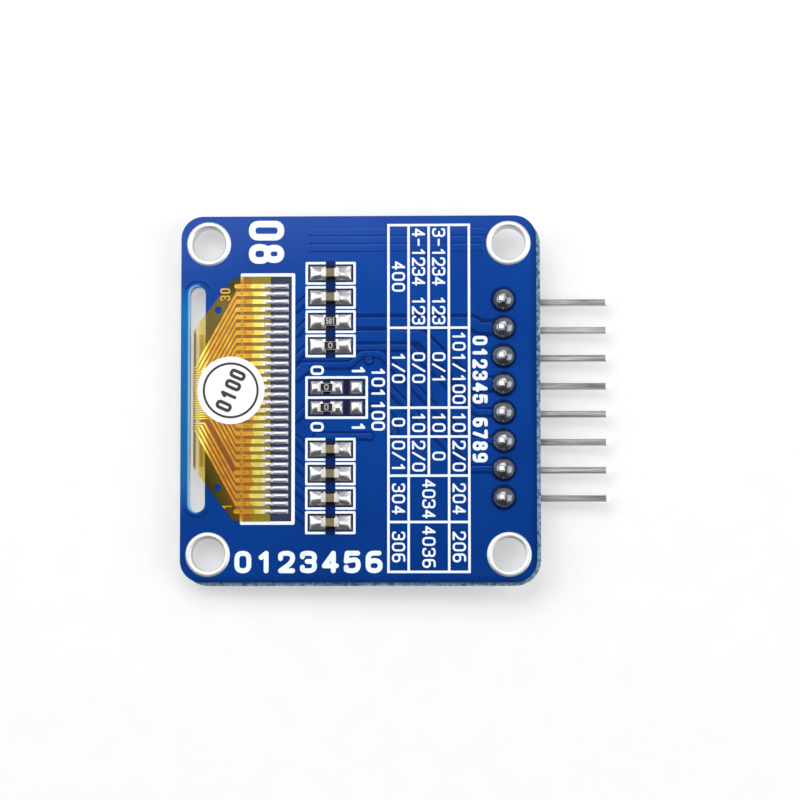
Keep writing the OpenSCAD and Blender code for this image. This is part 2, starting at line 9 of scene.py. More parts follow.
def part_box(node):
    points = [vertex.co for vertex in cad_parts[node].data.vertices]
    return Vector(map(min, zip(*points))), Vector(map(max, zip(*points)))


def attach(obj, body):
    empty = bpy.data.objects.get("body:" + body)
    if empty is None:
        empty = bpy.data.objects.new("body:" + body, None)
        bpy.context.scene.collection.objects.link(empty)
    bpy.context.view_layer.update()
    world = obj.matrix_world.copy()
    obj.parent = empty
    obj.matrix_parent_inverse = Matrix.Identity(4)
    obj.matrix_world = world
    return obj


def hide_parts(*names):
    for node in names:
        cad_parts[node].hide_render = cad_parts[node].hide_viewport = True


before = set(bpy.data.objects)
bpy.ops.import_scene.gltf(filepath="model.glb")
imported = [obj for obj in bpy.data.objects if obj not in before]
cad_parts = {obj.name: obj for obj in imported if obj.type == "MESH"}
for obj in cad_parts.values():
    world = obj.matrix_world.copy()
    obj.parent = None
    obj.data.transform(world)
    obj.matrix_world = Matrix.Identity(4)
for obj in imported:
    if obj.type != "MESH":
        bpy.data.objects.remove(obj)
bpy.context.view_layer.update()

# Lengths are in millimetres until a piece is built, and Blender's are in metres.
MM = 0.001
BODY = "root"
SEED = 7


def box_mm(node):
    """Lowest and highest corner of a CAD node, in millimetres."""
    low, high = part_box(node)
    return low / MM, high / MM


def middle(node):
    """Centre of a CAD node's box, in millimetres."""
    low, high = box_mm(node)
    return (low + high) / 2


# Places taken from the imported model
board_low, board_high = box_mm("circuit_board")
legend_high = box_mm("legend_print")[1]
land_low, land_high = box_mm("flex_landing_pads")
trace_low, trace_high = box_mm("flex_traces")
sticker_low, sticker_high = box_mm("inspection_sticker")
film_end = box_mm("flex_film")[1].x
joint_high = box_mm("header_solder")[1]
pin_high = box_mm("header_pin_1")[1]
code_z = box_mm("resistor_overcoat")[1].z
header_x = middle("header_hole_plating").x
pins = [middle(f"header_pin_{k}") for k in range(1, 9)]
capacitors = [middle(f"capacitor_{k}") for k in range(1, 7)]
resistors = [middle(f"resistor_{k}") for k in range(1, 5)]
pad_top = land_high.z

# The fold of the flex cable and the sticker on it
fold_r = (trace_high.z - trace_low.z) / 2
fold_x = trace_low.x + fold_r
fold_z = trace_high.z - fold_r
sticker_t = sticker_high.z - trace_high.z
sticker_r = (sticker_high.y - sticker_low.y) / 2
sticker_x = sticker_high.x - sticker_r
sticker_y = (sticker_high.y + sticker_low.y) / 2
STICKER_CLEAR = 0.1

# Length of a pin's tapered end
PIN_TAPER = 0.32

# The row of soldered fingers
FINGERS = 30
FINGER_W = 0.4
finger_pitch = (land_high.y - land_low.y - FINGER_W) / (FINGERS - 1)
finger_ys = [land_low.y + FINGER_W / 2 + k * finger_pitch for k in range(FINGERS)]

# The fingers' roots, and the slanted edge of the fan of conductors behind them
FINGER_L = 3.1
FAN_SLOPE = 2.03
FAN_MARGIN = 0.35
finger_root = film_end - FINGER_L
fan_reach = finger_ys[-2] + FAN_MARGIN - FAN_SLOPE * finger_root

# Where the cover over the conductors stops, and where their tinning starts
COVER_BACK = 1.65
TIN_BACK = 0.7
cover_edge = film_end - COVER_BACK
tin_edge = film_end - TIN_BACK

# Painted shade: the flex cable is darker and browner towards its lower end, fully at the first y, and not
# at all from the second
SHADED_Y = (-6.0, 2.0)

# Chip parts and their pads; the last two resistors are links, with a third pad beside them
CHIP_L = 1.6
PAD_IN = 0.375
PAD_OUT = 1.935
PAD_W = 1.4
LINK_IN = 0.275
LINK_OUT = 1.505
LINK_W = 1.26
LINK_PITCH = 1.78
links = resistors[2:]
column_resistors = resistors[:2]
upper_chips = capacitors[:2] + column_resistors
lower_chips = capacitors[2:]

# Printed table
LINE_W = 0.22
COLUMN_W = 1.81
COLUMNS = 4
ROW_H = [9.3, 7.2, 2.6, 3.5, 4.15, 4.45]
table_right = legend_high.x - LINE_W / 2
table_left = table_right - COLUMNS * COLUMN_W
table_top = legend_high.y - LINE_W / 2

# The board's outline and its slot
board_half_x = -board_low.x
board_half_y = board_high.y
board_half_t = (board_high.z - board_low.z) / 2
RIM_W = 0.65
SLOT_LEFT = -15.25
SLOT_RIGHT = -13.78
SLOT_END = 10.2
SLOT_CLEAR = 0.42
SLOT_LINE_W = 0.14
slot_r = (SLOT_RIGHT - SLOT_LEFT) / 2
slot_x = SLOT_LEFT + slot_r
slot_turn_y = SLOT_END - slot_r

# Layers on the face of the board; strokes that cross differ by a step in height
PRINT_T = 0.025
PRINT_STEP = 0.0015
MASK_GAP_T = 0.003
TRACK_T = 0.012
FAINT_T = 0.005
TRACK_STEP = 0.0004
TRACK_SLOPE = 0.08
READ_DOWN = -math.pi / 2


# Meshes

CURVE_STEPS = 5
END_STEPS = 4
END_OPEN = 0.3
MITER_MAX = 1.4
MITER_GUARD = 0.3
ROUND_STEPS = 24
SAME_POINT = 1e-6


class Bag:
    """Vertices and faces of one piece, in millimetres."""

    def __init__(self):
        self.verts = []
        self.faces = []

    def add(self, verts, faces):
        first = len(self.verts)
        self.verts.extend(verts)
        self.faces.extend([tuple(first + k for k in face) for face in faces])

    def piece(self, name, material, slot, smooth=False):
        mesh = bpy.data.meshes.new(name)
        mesh.from_pydata([(x * MM, y * MM, z * MM) for x, y, z in self.verts], [], self.faces)
        mesh.validate()
        mesh.polygons.foreach_set("use_smooth", [smooth] * len(mesh.polygons))
        mesh.materials.append(material)
        made = bpy.data.objects.new(name, mesh)
        bpy.context.scene.collection.objects.link(made)
        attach(made, BODY)
        return made


def unit(x, y):
    length = math.hypot(x, y) or 1.0
    return x / length, y / length


def circle(x, y, radius, count):
    """Points round a circle."""
    turns = [2 * math.pi * k / count for k in range(count)]
    return [(x + radius * math.cos(a), y + radius * math.sin(a)) for a in turns]


def towards(start, end, reach):
    """The point that far from start on the way to end, and never past halfway."""
    dx, dy = end[0] - start[0], end[1] - start[1]
    length = min(reach, math.hypot(dx, dy) / 2)
    ux, uy = unit(dx, dy)
    return start[0] + ux * length, start[1] + uy * length


def corner_curve(before, corner, after, radius):
    """A short curve from one side of a corner to the other."""
    ax, ay = towards(corner, before, radius)
    bx, by = towards(corner, after, radius)
    curve = []
    for step in range(CURVE_STEPS + 1):
        t = step / CURVE_STEPS
        p, q, r = (1 - t) ** 2, 2 * t * (1 - t), t * t
        curve.append((p * ax + q * corner[0] + r * bx, p * ay + q * corner[1] + r * by))
    return curve


def rounded(points, radius):
    """The same line with each corner replaced by a short curve."""
    closed = points[0] == points[-1]
    corners = points[:-1] if closed else points
    count = len(corners)
    line = []
    for k, corner in enumerate(corners):
        if closed or 0 < k < count - 1:
            line += corner_curve(corners[k - 1], corner, corners[(k + 1) % count], radius)
        else:
            line.append(corner)
    apart = [point for k, point in enumerate(line) if k == 0 or math.dist(point, line[k - 1]) > SAME_POINT]
    if closed and math.dist(apart[0], apart[-1]) < SAME_POINT:
        apart.pop()
    return apart + apart[:1] if closed else apart


def round_end(row, half, way):
    """Rows that close one end of a stroke."""
    x, y, nx, ny, _ = row
    end = []
    for step in range(1, END_STEPS + 1):
        a = math.pi / 2 * step / (END_STEPS + END_OPEN)
        reach = way * half * math.sin(a)
        end.append((x + ny * reach, y - nx * reach, nx, ny, half * math.cos(a)))
    return end


def stroke_rows(points, half):
    """Rows of (x, y, across x, across y, half width) along a stroke, with round ends on an open one."""
    closed = points[0] == points[-1]
    path = points[:-1] if closed else points
    count = len(path)
    rows = []
    for k, (x, y) in enumerate(path):
        before = path[k - 1] if closed or k > 0 else path[k]
        after = path[(k + 1) % count] if closed or k < count - 1 else path[k]
        ax, ay = unit(x - before[0], y - before[1])
        bx, by = unit(after[0] - x, after[1] - y)
        if before == path[k]:
            ax, ay = bx, by
        if after == path[k]:
            bx, by = ax, ay
        tx, ty = unit(ax + bx, ay + by)
        miter = min(MITER_MAX, 1 / max(MITER_GUARD, tx * ax + ty * ay))
        rows.append((x, y, -ty, tx, half * miter))
    if closed:
        return rows + rows[:1]
    return round_end(rows[0], half, -1)[::-1] + rows + round_end(rows[-1], half, 1)


def ribbon(bag, points, width, low, high, slope=0.0, lift=None):
    """A flat raised line along points, wider by slope at its foot, and moved in height by lift(x)."""
    verts, faces = [], []
    rows = stroke_rows(points, width / 2)
    for x, y, nx, ny, half in rows:
        foot = half + slope
        for side, z, w in ((1, high, half), (-1, high, half), (-1, low, foot), (1, low, foot)):
            px, py = x + side * nx * w, y + side * ny * w
            verts.append((px, py, z + (lift(px) if lift else 0.0)))
    for k in range(len(rows) - 1):
        a, b = 4 * k, 4 * k + 4
        for s in range(4):
            t = (s + 1) % 4
            faces.append((a + s, a + t, b + t, b + s))
    if points[0] != points[-1]:
        last = len(verts) - 4
        faces += [(3, 2, 1, 0), (last, last + 1, last + 2, last + 3)]
    bag.add(verts, faces)


def patch(bag, outline, low, high):
    """A thin flat patch with that outline."""
    count = len(outline)
    verts = [(x, y, z) for z in (low, high) for x, y in outline]
    sides = [(k, (k + 1) % count, (k + 1) % count + count, k + count) for k in range(count)]
    bag.add(verts, sides + [tuple(reversed(range(count))), tuple(range(count, 2 * count))])


def plate(bag, x0, x1, y0, y1, low, high):
    patch(bag, [(x0, y0), (x1, y0), (x1, y1), (x0, y1)], low, high)


def disc(bag, x, y, radius, low, high):
    patch(bag, circle(x, y, radius, ROUND_STEPS), low, high)


def mound(bag, corner, opposite, height, columns, rows):
    """A closed heap between two corners: height(u, v) above the pads, with u and v from 0 to 1."""
    wide = rows + 1
    (x0, y0), (x1, y1) = corner, opposite
    grid = [(i / columns, j / rows) for i in range(columns + 1) for j in range(wide)]
    verts = [(x0 + u * (x1 - x0), y0 + v * (y1 - y0), pad_top + height(u, v)) for u, v in grid]
    faces = []
    for i in range(columns):
        for j in range(rows):
            a = i * wide + j
            faces.append((a, a + wide, a + wide + 1, a + 1))
    rim = [i * wide for i in range(columns)]
    rim += [columns * wide + j for j in range(rows)]
    rim += [i * wide + rows for i in range(columns, 0, -1)]
    rim += list(range(rows, 0, -1))
    foot, count = len(verts), len(rim)
    verts += [(verts[k][0], verts[k][1], pad_top) for k in rim]
    for k in range(count):
        n = (k + 1) % count
        faces.append((foot + k, foot + n, rim[n], rim[k]))
    faces.append(tuple(foot + k for k in reversed(range(count))))
    bag.add(verts, faces)


def lathe(bag, x, y, profile, count, shape):
    """A solid of revolution. shape(a, r, z) places each point of the profile at an angle."""
    verts = [shape(2 * math.pi * k / count, r, z) for r, z in profile for k in range(count)]
    verts = [(x + px, y + py, pz) for px, py, pz in verts]
    faces = []
    for i in range(len(profile) - 1):
        for k in range(count):
            n = (k + 1) % count
            a, b = i * count, (i + 1) * count
            faces.append((a + k, b + k, b + n, a + n))
    last = (len(profile) - 1) * count
    faces += [tuple(range(count)), tuple(last + k for k in reversed(range(count)))]
    bag.add(verts, faces)


# Numerals, drawn as strokes on a grid one wide and one high

GLYPH_W = 0.5
GLYPH_STEP = 0.76
GLYPHS = {
    "0": [[(0, 0), (1, 0), (1, 1), (0, 1), (0, 0)]],
    "1": [[(0.2, 0.76), (0.62, 1)], [(0.62, 1), (0.62, 0)]],
    "2": [[(0, 0.7), (0, 1), (1, 1), (1, 0.5), (0, 0)], [(0, 0), (1, 0)]],
    "3": [[(0, 0.8), (0, 1), (1, 1), (1, 0.53), (0.4, 0.53)],
          [(0.4, 0.53), (1, 0.53), (1, 0), (0, 0), (0, 0.2)]],
    "4": [[(0.75, 0), (0.75, 1)], [(0.75, 1), (0, 0.28)], [(0, 0.28), (1, 0.28)]],
    "5": [[(0.95, 1), (0.08, 1)], [(0.08, 1), (0, 0.55)],
          [(0, 0.55), (1, 0.68), (1, 0), (0, 0), (0, 0.2)]],
    "6": [[(0, 0), (1, 0), (1, 0.58), (0, 0.58), (0, 0)], [(0, 0.3), (0, 1), (0.9, 1)]],
    "7": [[(0, 1), (1, 1)], [(1, 1), (0.35, 0)]],
    "8": [[(0.06, 0.53), (0.94, 0.53), (0.94, 1), (0.06, 1), (0.06, 0.53)],
          [(0, 0), (1, 0), (1, 0.53), (0, 0.53), (0, 0)]],
    "9": [[(0, 0.42), (1, 0.42), (1, 1), (0, 1), (0, 0.42)], [(1, 0.7), (1, 0), (0.1, 0)]],
    "/": [[(0, 0), (1, 1)]],
    "-": [[(0.1, 0.5), (0.9, 0.5)]],
    " ": [],
}


def write(bag, text, x, y, low, high, cap, stroke, turn, step=GLYPH_STEP, share=GLYPH_W, lift=None):
    """Numerals of that cap height round (x, y), turned by that angle, each share of the cap height wide."""
    wide, tall = cap * share - stroke, cap - stroke
    advance = cap * step
    cos, sin = math.cos(turn), math.sin(turn)
    start = -(len(text) - 1) * advance / 2 - wide / 2
    for k, glyph in enumerate(text):
        for order, line in enumerate(GLYPHS[glyph]):
            path = []
            for gx, gy in line:
                lx, ly = start + k * advance + gx * wide, (gy - 0.5) * tall
                path.append((x + lx * cos - ly * sin, y + lx * sin + ly * cos))
            rise = order * PRINT_STEP
            ribbon(bag, rounded(path, wide / 2), stroke, low + rise / 2, high + rise, lift=lift)


# Materials

# The range that most of a noise texture's values lie in
NOISE_LOW = 0.3
NOISE_HIGH = 0.7
# A finish's relief is finer than its colour by this much
RELIEF_FINER = 3


def srgb(r, g, b):
    """A colour as the eye reads it, from 0 to 255, as linear light."""
    def linear(c):
        c /= 255
        return c / 12.92 if c <= 0.04045 else ((c + 0.055) / 1.055) ** 2.4
    return linear(r), linear(g), linear(b), 1.0


class Nodes:
    """A node tree, built a node at a time."""

    def __init__(self, tree):
        self.tree = tree

    def node(self, kind, inputs=(), **settings):
        made = self.tree.nodes.new(kind)
        for key, value in settings.items():
            setattr(made, key, value)
        for key, value in dict(inputs).items():
            self.feed(made.inputs[key], value)
        return made

    def feed(self, socket, value):
        if isinstance(value, bpy.types.NodeSocket):
            self.tree.links.new(value, socket)
        else:
            socket.default_value = value

    def span(self, value, low, high, from_low=NOISE_LOW, from_high=NOISE_HIGH):
        """The value as a number that runs from low to high."""
        made = self.node("ShaderNodeMapRange", {
            "Value": value, "From Min": from_low, "From Max": from_high, "To Min": low, "To Max": high,
        })
        return made.outputs["Result"]

    def rise(self, value, start=NOISE_LOW, end=NOISE_HIGH):
        """A share that grows from 0 at start to 1 at end."""
        return self.span(value, 0.0, 1.0, start, end)

    def fall(self, value, start, end):
        """A share that shrinks from 1 at start to 0 at end."""
        return self.span(value, 1.0, 0.0, start, end)

    def between(self, share, first, second):
        """A number between two others."""
        return self.span(share, first, second, 0.0, 1.0)

    def mix(self, share, first, second):
        """A colour between two others."""
        made = self.node("ShaderNodeMix", data_type="RGBA")
        self.feed(made.inputs["Factor"], share)
        colours = [s for s in made.inputs if s.type == "RGBA"]
        self.feed(colours[0], first)
        self.feed(colours[1], second)
        return next(s for s in made.outputs if s.type == "RGBA")

    def maths(self, operation, a, b=0.0):
        made = self.node("ShaderNodeMath", operation=operation)
        self.feed(made.inputs[0], a)
        self.feed(made.inputs[1], b)
        return made.outputs[0]


class Look(Nodes):
    """A material and its nodes."""

    def __init__(self, name):
        self.material = bpy.data.materials.new(name)
        self.material.use_nodes = True
        super().__init__(self.material.node_tree)
        self.shader = self.tree.nodes["Principled BSDF"]
        self.output = self.tree.nodes["Material Output"]

    def set(self, **sockets):
        for key, value in sockets.items():
            self.feed(self.shader.inputs[key.replace("_", " ")], value)

    def place(self):
        return self.node("ShaderNodeTexCoord").outputs["Object"]

    def axes_mm(self):
        """The place on the piece as three numbers in millimetres."""
        scaled = self.node("ShaderNodeMapping", {"Vector": self.place(), "Scale": (1 / MM, 1 / MM, 1 / MM)})
        return self.node("ShaderNodeSeparateXYZ", {"Vector": scaled.outputs["Vector"]}).outputs

    def lying(self):
        """One where the surface lies flat, and 0 where it stands upright."""
        normal = self.node("ShaderNodeNewGeometry").outputs["Normal"]
        return self.maths("ABSOLUTE", self.node("ShaderNodeSeparateXYZ", {"Vector": normal}).outputs["Z"])

    def noise(self, per_mm, detail=4.0, stretch=(1, 1, 1), rough=0.55):
        """Noise with that many features a millimetre, drawn out by stretch."""
        scaled = self.node("ShaderNodeMapping", {"Vector": self.place(), "Scale": stretch})
        made = self.node("ShaderNodeTexNoise", {
            "Vector": scaled.outputs["Vector"], "Scale": per_mm / MM, "Detail": detail, "Roughness": rough,
        })
        return made.outputs["Fac"]

    def bump(self, height, depth_mm, strength=1.0):
        made = self.node("ShaderNodeBump", {
            "Height": height, "Distance": depth_mm * MM, "Strength": strength,
        })
        self.feed(self.shader.inputs["Normal"], made.outputs["Normal"])


def surface(name, dark, light, per_mm, rough, bump_mm=0.0, **sockets):
    """A finish whose colour, roughness and relief all vary with one grain."""
    look = Look(name)
    grain = look.noise(per_mm)
    look.set(Base_Color=look.mix(look.rise(grain), srgb(*dark), srgb(*light)))
    look.set(Roughness=look.span(grain, *rough), **sockets)
    if bump_mm:
        look.bump(look.noise(per_mm * RELIEF_FINER), bump_mm)
    return look.material


# The board's finish

RIM_SHARE = 0.8
FACE_DEPTH = 0.1
# Where each zone starts and ends, in millimetres
RIM_BAND = (-RIM_W, -0.1)
# Painted glow on the strip beside the slot, and a painted highlight on the slot's lip
STRIP_X = (SLOT_LEFT - 0.02, SLOT_LEFT + 0.3)
STRIP_Y = (SLOT_END - 2.4, SLOT_END + 0.4)
LIP_REACH = (slot_r + 0.06, slot_r + 0.16)
LIP_ACROSS = (-0.1, 0.35)


def board_rim(look):
    """High in the band along the snapped edges, where the mask is darker."""
    x, y, _ = look.axes_mm()
    past_x = look.maths("SUBTRACT", x, board_half_x)
    past_y = look.maths("SUBTRACT", look.maths("MULTIPLY", y, -1.0), board_half_y)
    return look.span(look.maths("MAXIMUM", past_x, past_y), 0.0, RIM_SHARE, *RIM_BAND)


def slot_painted_glow(look):
    """One on the strip between the slot and the edge, where the light that passes through it from behind is
    painted in as a glow.
    """
    x, y, _ = look.axes_mm()
    strip = look.fall(x, *STRIP_X)
    length = look.fall(look.maths("ABSOLUTE", y), *STRIP_Y)
    return look.maths("MULTIPLY", strip, length)


def slot_lip_highlight(look):
    """One on the painted highlight along the mask's lip at the slot's outer side and round its ends."""
    x, y, _ = look.axes_mm()
    across = look.maths("SUBTRACT", x, slot_x)
    past = look.maths("SUBTRACT", look.maths("ABSOLUTE", y), slot_turn_y)
    past = look.maths("MAXIMUM", past, 0.0)
    squares = [look.maths("MULTIPLY", part, part) for part in (across, past)]
    reach = look.maths("SQRT", look.maths("ADD", *squares))
    return look.maths("MULTIPLY", look.fall(reach, *LIP_REACH), look.fall(across, *LIP_ACROSS))


def board_mask(look, glow):
    """The mask's blue, darker along the snapped edges, with a painted glow beside the slot and a painted
    highlight on the slot's lip.
    """
    cloud = look.rise(look.noise(0.12, 3.0))
    blue = look.mix(cloud, srgb(3, 50, 124), srgb(6, 58, 135))
    blue = look.mix(board_rim(look), blue, srgb(2, 40, 100))
    # Painted glow on the mask beside the slot
    blue = look.mix(glow, blue, srgb(22, 88, 146))
    # Painted highlight on the slot's lip
    return look.mix(slot_lip_highlight(look), blue, srgb(84, 150, 204))


def board_laminate(look, glow, flat):
    """Bare glass laminate, paler on the walls than on the snapped web, with a painted glow on the wall
    beside the slot.
    """
    fibre = look.rise(look.noise(3.0, 6.0, (1.0, 1.0, 6.0)), 0.35, 0.65)
    web = look.mix(fibre, srgb(52, 88, 124), srgb(156, 182, 198))
    wall = look.mix(fibre, srgb(160, 200, 222), srgb(206, 230, 240))
    # Painted glow on the wall beside the slot
    wall = look.mix(glow, wall, srgb(228, 244, 252))
    return look.mix(flat, wall, web)


def board_finish():
    """Glossy blue mask on the two faces, and bare laminate on the walls and the snapped web."""
    look = Look("blue_mask")
    flat = look.rise(look.lying(), 0.85, 0.95)
    depth = look.maths("ABSOLUTE", look.maths("ADD", look.axes_mm()[2], board_half_t))
    outer = look.maths("GREATER_THAN", depth, board_half_t - FACE_DEPTH)
    face = look.maths("MULTIPLY", flat, outer)
    # The painted glow beside the slot, for the mask and the wall
    glow = slot_painted_glow(look)
    look.set(Base_Color=look.mix(face, board_laminate(look, glow, flat), board_mask(look, glow)))
    look.set(Metallic=look.maths("MULTIPLY", face, 0.6), Roughness=look.between(face, 0.75, 0.42))
    look.set(Specular_IOR_Level=0.05, Coat_Weight=0.15, Coat_Roughness=0.1)
    look.bump(look.mix(face, look.noise(6.0, 5.0), look.noise(5.0, 2.0)), 0.004, 0.5)
    return look.material


# The film's finish

STEEP_SHARE = 0.5
# Where each zone starts and ends, in millimetres
FAN_EDGE = (-0.15, 0.15)
WEDGE = (-3.0, -0.4)
ROOTS_X = (finger_root - 0.3, finger_root + 0.3)
STIFF_X = (cover_edge - 0.1, cover_edge)
TOP_FADE_Y = (9.1, 9.9)
UNDER_Z = (fold_z - 0.6, fold_z)


def film_zones(look):
    """Shares that mark the parts of the film, and how far inside the fan a place is, in millimetres."""
    x, y, z = look.axes_mm()
    lying = look.lying()
    fan_edge = look.maths("ADD", look.maths("MULTIPLY", x, FAN_SLOPE), fan_reach)
    inside = look.maths("SUBTRACT", fan_edge, look.maths("ABSOLUTE", y))
    return SimpleNamespace(
        inside=inside,
        fan=look.rise(inside, *FAN_EDGE),
        rooted=look.rise(x, *ROOTS_X),
        stiff=look.rise(x, *STIFF_X),
        # Painted shade falls on the lower end of the film, and a painted highlight where it curves over the
        # fold
        shaded=look.fall(y, *SHADED_Y),
        top_fade=look.span(y, 1.0, 0.25, *TOP_FADE_Y),
        under=look.fall(z, *UNDER_Z),
        steep=look.span(lying, STEEP_SHARE, 0.0, 0.5, 0.62),
        painted_sheen=look.maths("MULTIPLY", look.rise(lying, 0.6, 0.7), look.fall(lying, 0.86, 0.97)),
    )


def film_colour(look, zone, cloud):
    """Amber, browner between the conductors and olive on the stiff end, with painted shade towards the
    lower end and a pale painted highlight where the film curves over the fold.
    """
    plain = look.mix(cloud, srgb(200, 154, 62), srgb(224, 180, 84))
    # Painted shade: browner and darker towards the lower end
    plain = look.mix(zone.shaded, plain, srgb(196, 140, 24))
    traced = look.mix(zone.shaded, srgb(178, 106, 6), srgb(152, 80, 3))
    traced = look.mix(zone.rooted, traced, srgb(190, 124, 36))
    own = look.mix(zone.stiff, look.mix(zone.fan, plain, traced), srgb(186, 168, 44))
    own = look.mix(look.rise(zone.steep, 0.0, STEEP_SHARE), own, srgb(150, 132, 92))
    # A painted highlight where the film curves over the fold
    return look.mix(zone.painted_sheen, own, srgb(244, 228, 190))


def film_tint(look, zone):
    """The colour of the light that passes through the film, darker towards the lower end as painted shade.
    """
    tint = look.mix(zone.shaded, (0.97, 0.91, 0.52, 1.0), (0.96, 0.87, 0.44, 1.0))
    return look.mix(zone.under, tint, (0.985, 0.95, 0.74, 1.0))


def film_share(look, zone):
    """How much of the film's own colour shows."""
    wedge = look.span(zone.inside, 0.03, 0.1, *WEDGE)
    thin = look.maths("MULTIPLY", look.between(zone.shaded, 0.13, wedge), zone.top_fade)
    share = look.between(zone.fan, thin, look.between(zone.rooted, 0.6, 0.38))
    share = look.maths("MAXIMUM", look.between(zone.stiff, share, 0.32), zone.steep)
    # The film's own colour shows more where its highlight over the fold is painted
    return look.maths("MAXIMUM", share, look.maths("MULTIPLY", zone.painted_sheen, 0.48))


def film_finish():
    """Amber polyimide: part of the light passes through it, and the rest shows its own colour."""
    look = Look("amber_film")
    zone = film_zones(look)
    cloud = look.rise(look.noise(0.7))
    look.set(Base_Color=film_colour(look, zone, cloud), Roughness=look.span(cloud, 0.25, 0.4))
    look.bump(look.noise(1.2, 2.0), 0.01, 0.4)
    clear = look.node("ShaderNodeBsdfTransparent", {"Color": film_tint(look, zone)})
    both = look.node("ShaderNodeMixShader", {
        0: film_share(look, zone), 1: clear.outputs[0], 2: look.shader.outputs[0],
    })
    look.feed(look.output.inputs["Surface"], both.outputs[0])
    return look.material


# Finishes of the conductors, the pins and the glass

COVER_RAGGED = 0.25
TIN_RAGGED = 0.2
PIN_STRETCH = (0.05, 1.0, 1.0)
# Where each zone starts and ends, in millimetres
# The covered copper has a painted highlight near the bend
BEND_HIGHLIGHT_X = (trace_low.x + 0.9, trace_low.x + 1.7)
BARE_X = (cover_edge - 0.06, cover_edge + 0.06)
TINNED_X = (tin_edge - 0.24, tin_edge + 0.24)
# Painted highlights on the pins' tapered ends and tops
TAPER_X = (pin_high.x - PIN_TAPER - 0.02, pin_high.x - PIN_TAPER + 0.02)
PIN_TOP_Z = (pin_high.z - 0.2, pin_high.z - 0.15)
# Where the painted shade line and the painted highlight on the corners start and end, from a pin's middle
# line, in pitches of the header
PIN_SHADE_LINE = (0.06, 0.085)
PIN_CORNER_HIGHLIGHT = (0.092, 0.1)


def conductor_finish():
    """Copper under its cover, then bare gold, then tinned towards the soldered end, with painted shade
    towards the lower end and a painted highlight at the bend.
    """
    look = Look("flex_copper")
    x, y, _ = look.axes_mm()
    grain = look.rise(look.noise(1.5))
    uneven = look.maths("ADD", x, look.span(look.noise(1.1), -COVER_RAGGED, COVER_RAGGED))
    ragged = look.maths("ADD", x, look.span(look.noise(2.0), -TIN_RAGGED, TIN_RAGGED))
    bare = look.rise(uneven, *BARE_X)
    tinned = look.rise(ragged, *TINNED_X)
    covered = look.mix(grain, srgb(186, 134, 30), srgb(216, 168, 50))
    # Painted shade on the covered copper towards the lower end
    darker = look.mix(grain, srgb(172, 112, 18), srgb(204, 146, 34))
    covered = look.mix(look.fall(y, *SHADED_Y), covered, darker)
    # Painted highlight on the covered copper where the cable bends over the fold
    covered = look.mix(look.fall(x, *BEND_HIGHLIGHT_X), covered, srgb(255, 226, 96))
    gold = look.mix(grain, srgb(206, 180, 74), srgb(232, 212, 112))
    tinning = look.mix(grain, srgb(206, 202, 200), srgb(240, 238, 232))
    look.set(Base_Color=look.mix(tinned, look.mix(bare, covered, gold), tinning))
    look.set(Metallic=look.between(bare, 0.3, 0.45), Roughness=look.between(bare, 0.36, 0.3))
    look.set(Specular_IOR_Level=0.25, Coat_Weight=0.06, Coat_Roughness=0.15)
    look.bump(look.noise(6.0, 2.0), 0.006, 0.5)
    return look.material


def pin_finish():
    """Drawn pins with long scratches, painted shade lines and painted highlights along the rounded edges,
    and painted highlights on the matt tapered ends and tops.
    """
    look = Look("pin_metal")
    x, y, z = look.axes_mm()
    grain = look.noise(4.0, stretch=PIN_STRETCH)
    pitch = pins[0].y - pins[1].y
    across = look.maths("SUBTRACT", look.maths("FRACT", look.maths("MULTIPLY", y, 1 / pitch)), 0.5)
    aside = look.maths("ABSOLUTE", across)
    drawn = look.mix(look.rise(grain), srgb(92, 88, 86), srgb(186, 183, 180))
    # Painted shade along the pins' rounded edges
    drawn = look.mix(look.span(aside, 0.0, 0.8, *PIN_SHADE_LINE), drawn, srgb(74, 68, 64))
    # Painted highlights on the tapered ends, the tops and the corners
    ends = look.maths("MAXIMUM", look.rise(x, *TAPER_X), look.rise(z, *PIN_TOP_Z))
    painted_highlight = look.maths("MAXIMUM", ends, look.rise(aside, *PIN_CORNER_HIGHLIGHT))
    look.set(Base_Color=look.mix(painted_highlight, drawn, srgb(232, 230, 226)))
    look.set(Metallic=look.between(painted_highlight, 0.7, 0.3), Roughness=look.span(grain, 0.3, 0.5))
    look.bump(look.noise(12.0, stretch=PIN_STRETCH), 0.008)
    return look.material


def glass_finish(name, tint, rough):
    """Clear glass with a little haze."""
    look = Look(name)
    haze = look.noise(0.5)
    look.set(Base_Color=srgb(*tint), Transmission_Weight=1.0, IOR=1.5)
    look.set(Roughness=look.span(haze, rough * 0.6, rough * 1.4))
    return look.material


# The board and its print
mask = board_finish()
mask_gap = surface("bare_mask", (0, 34, 96), (2, 40, 104), 0.8, (0.4, 0.5),
                   Specular_IOR_Level=0.03, Coat_Weight=0.1, Coat_Roughness=0.1)
mask_shade = surface("thin_mask", (14, 26, 64), (22, 36, 76), 0.8, (0.35, 0.45), Specular_IOR_Level=0.3)
# Painted shade round and under the chip parts
mask_painted_shade = surface("pad_surround_painted_shade", (7, 14, 50), (12, 20, 60), 0.8, (0.4, 0.5), Specular_IOR_Level=0.1)
white_ink = surface("white_ink", (220, 231, 246), (238, 244, 251), 3.0, (0.45, 0.6), 0.004)
black_ink = surface("black_ink", (22, 22, 26), (40, 40, 44), 4.0, (0.5, 0.65), 0.003)
code_ink = surface("code_ink", (164, 164, 162), (188, 188, 184), 5.0, (0.5, 0.6))

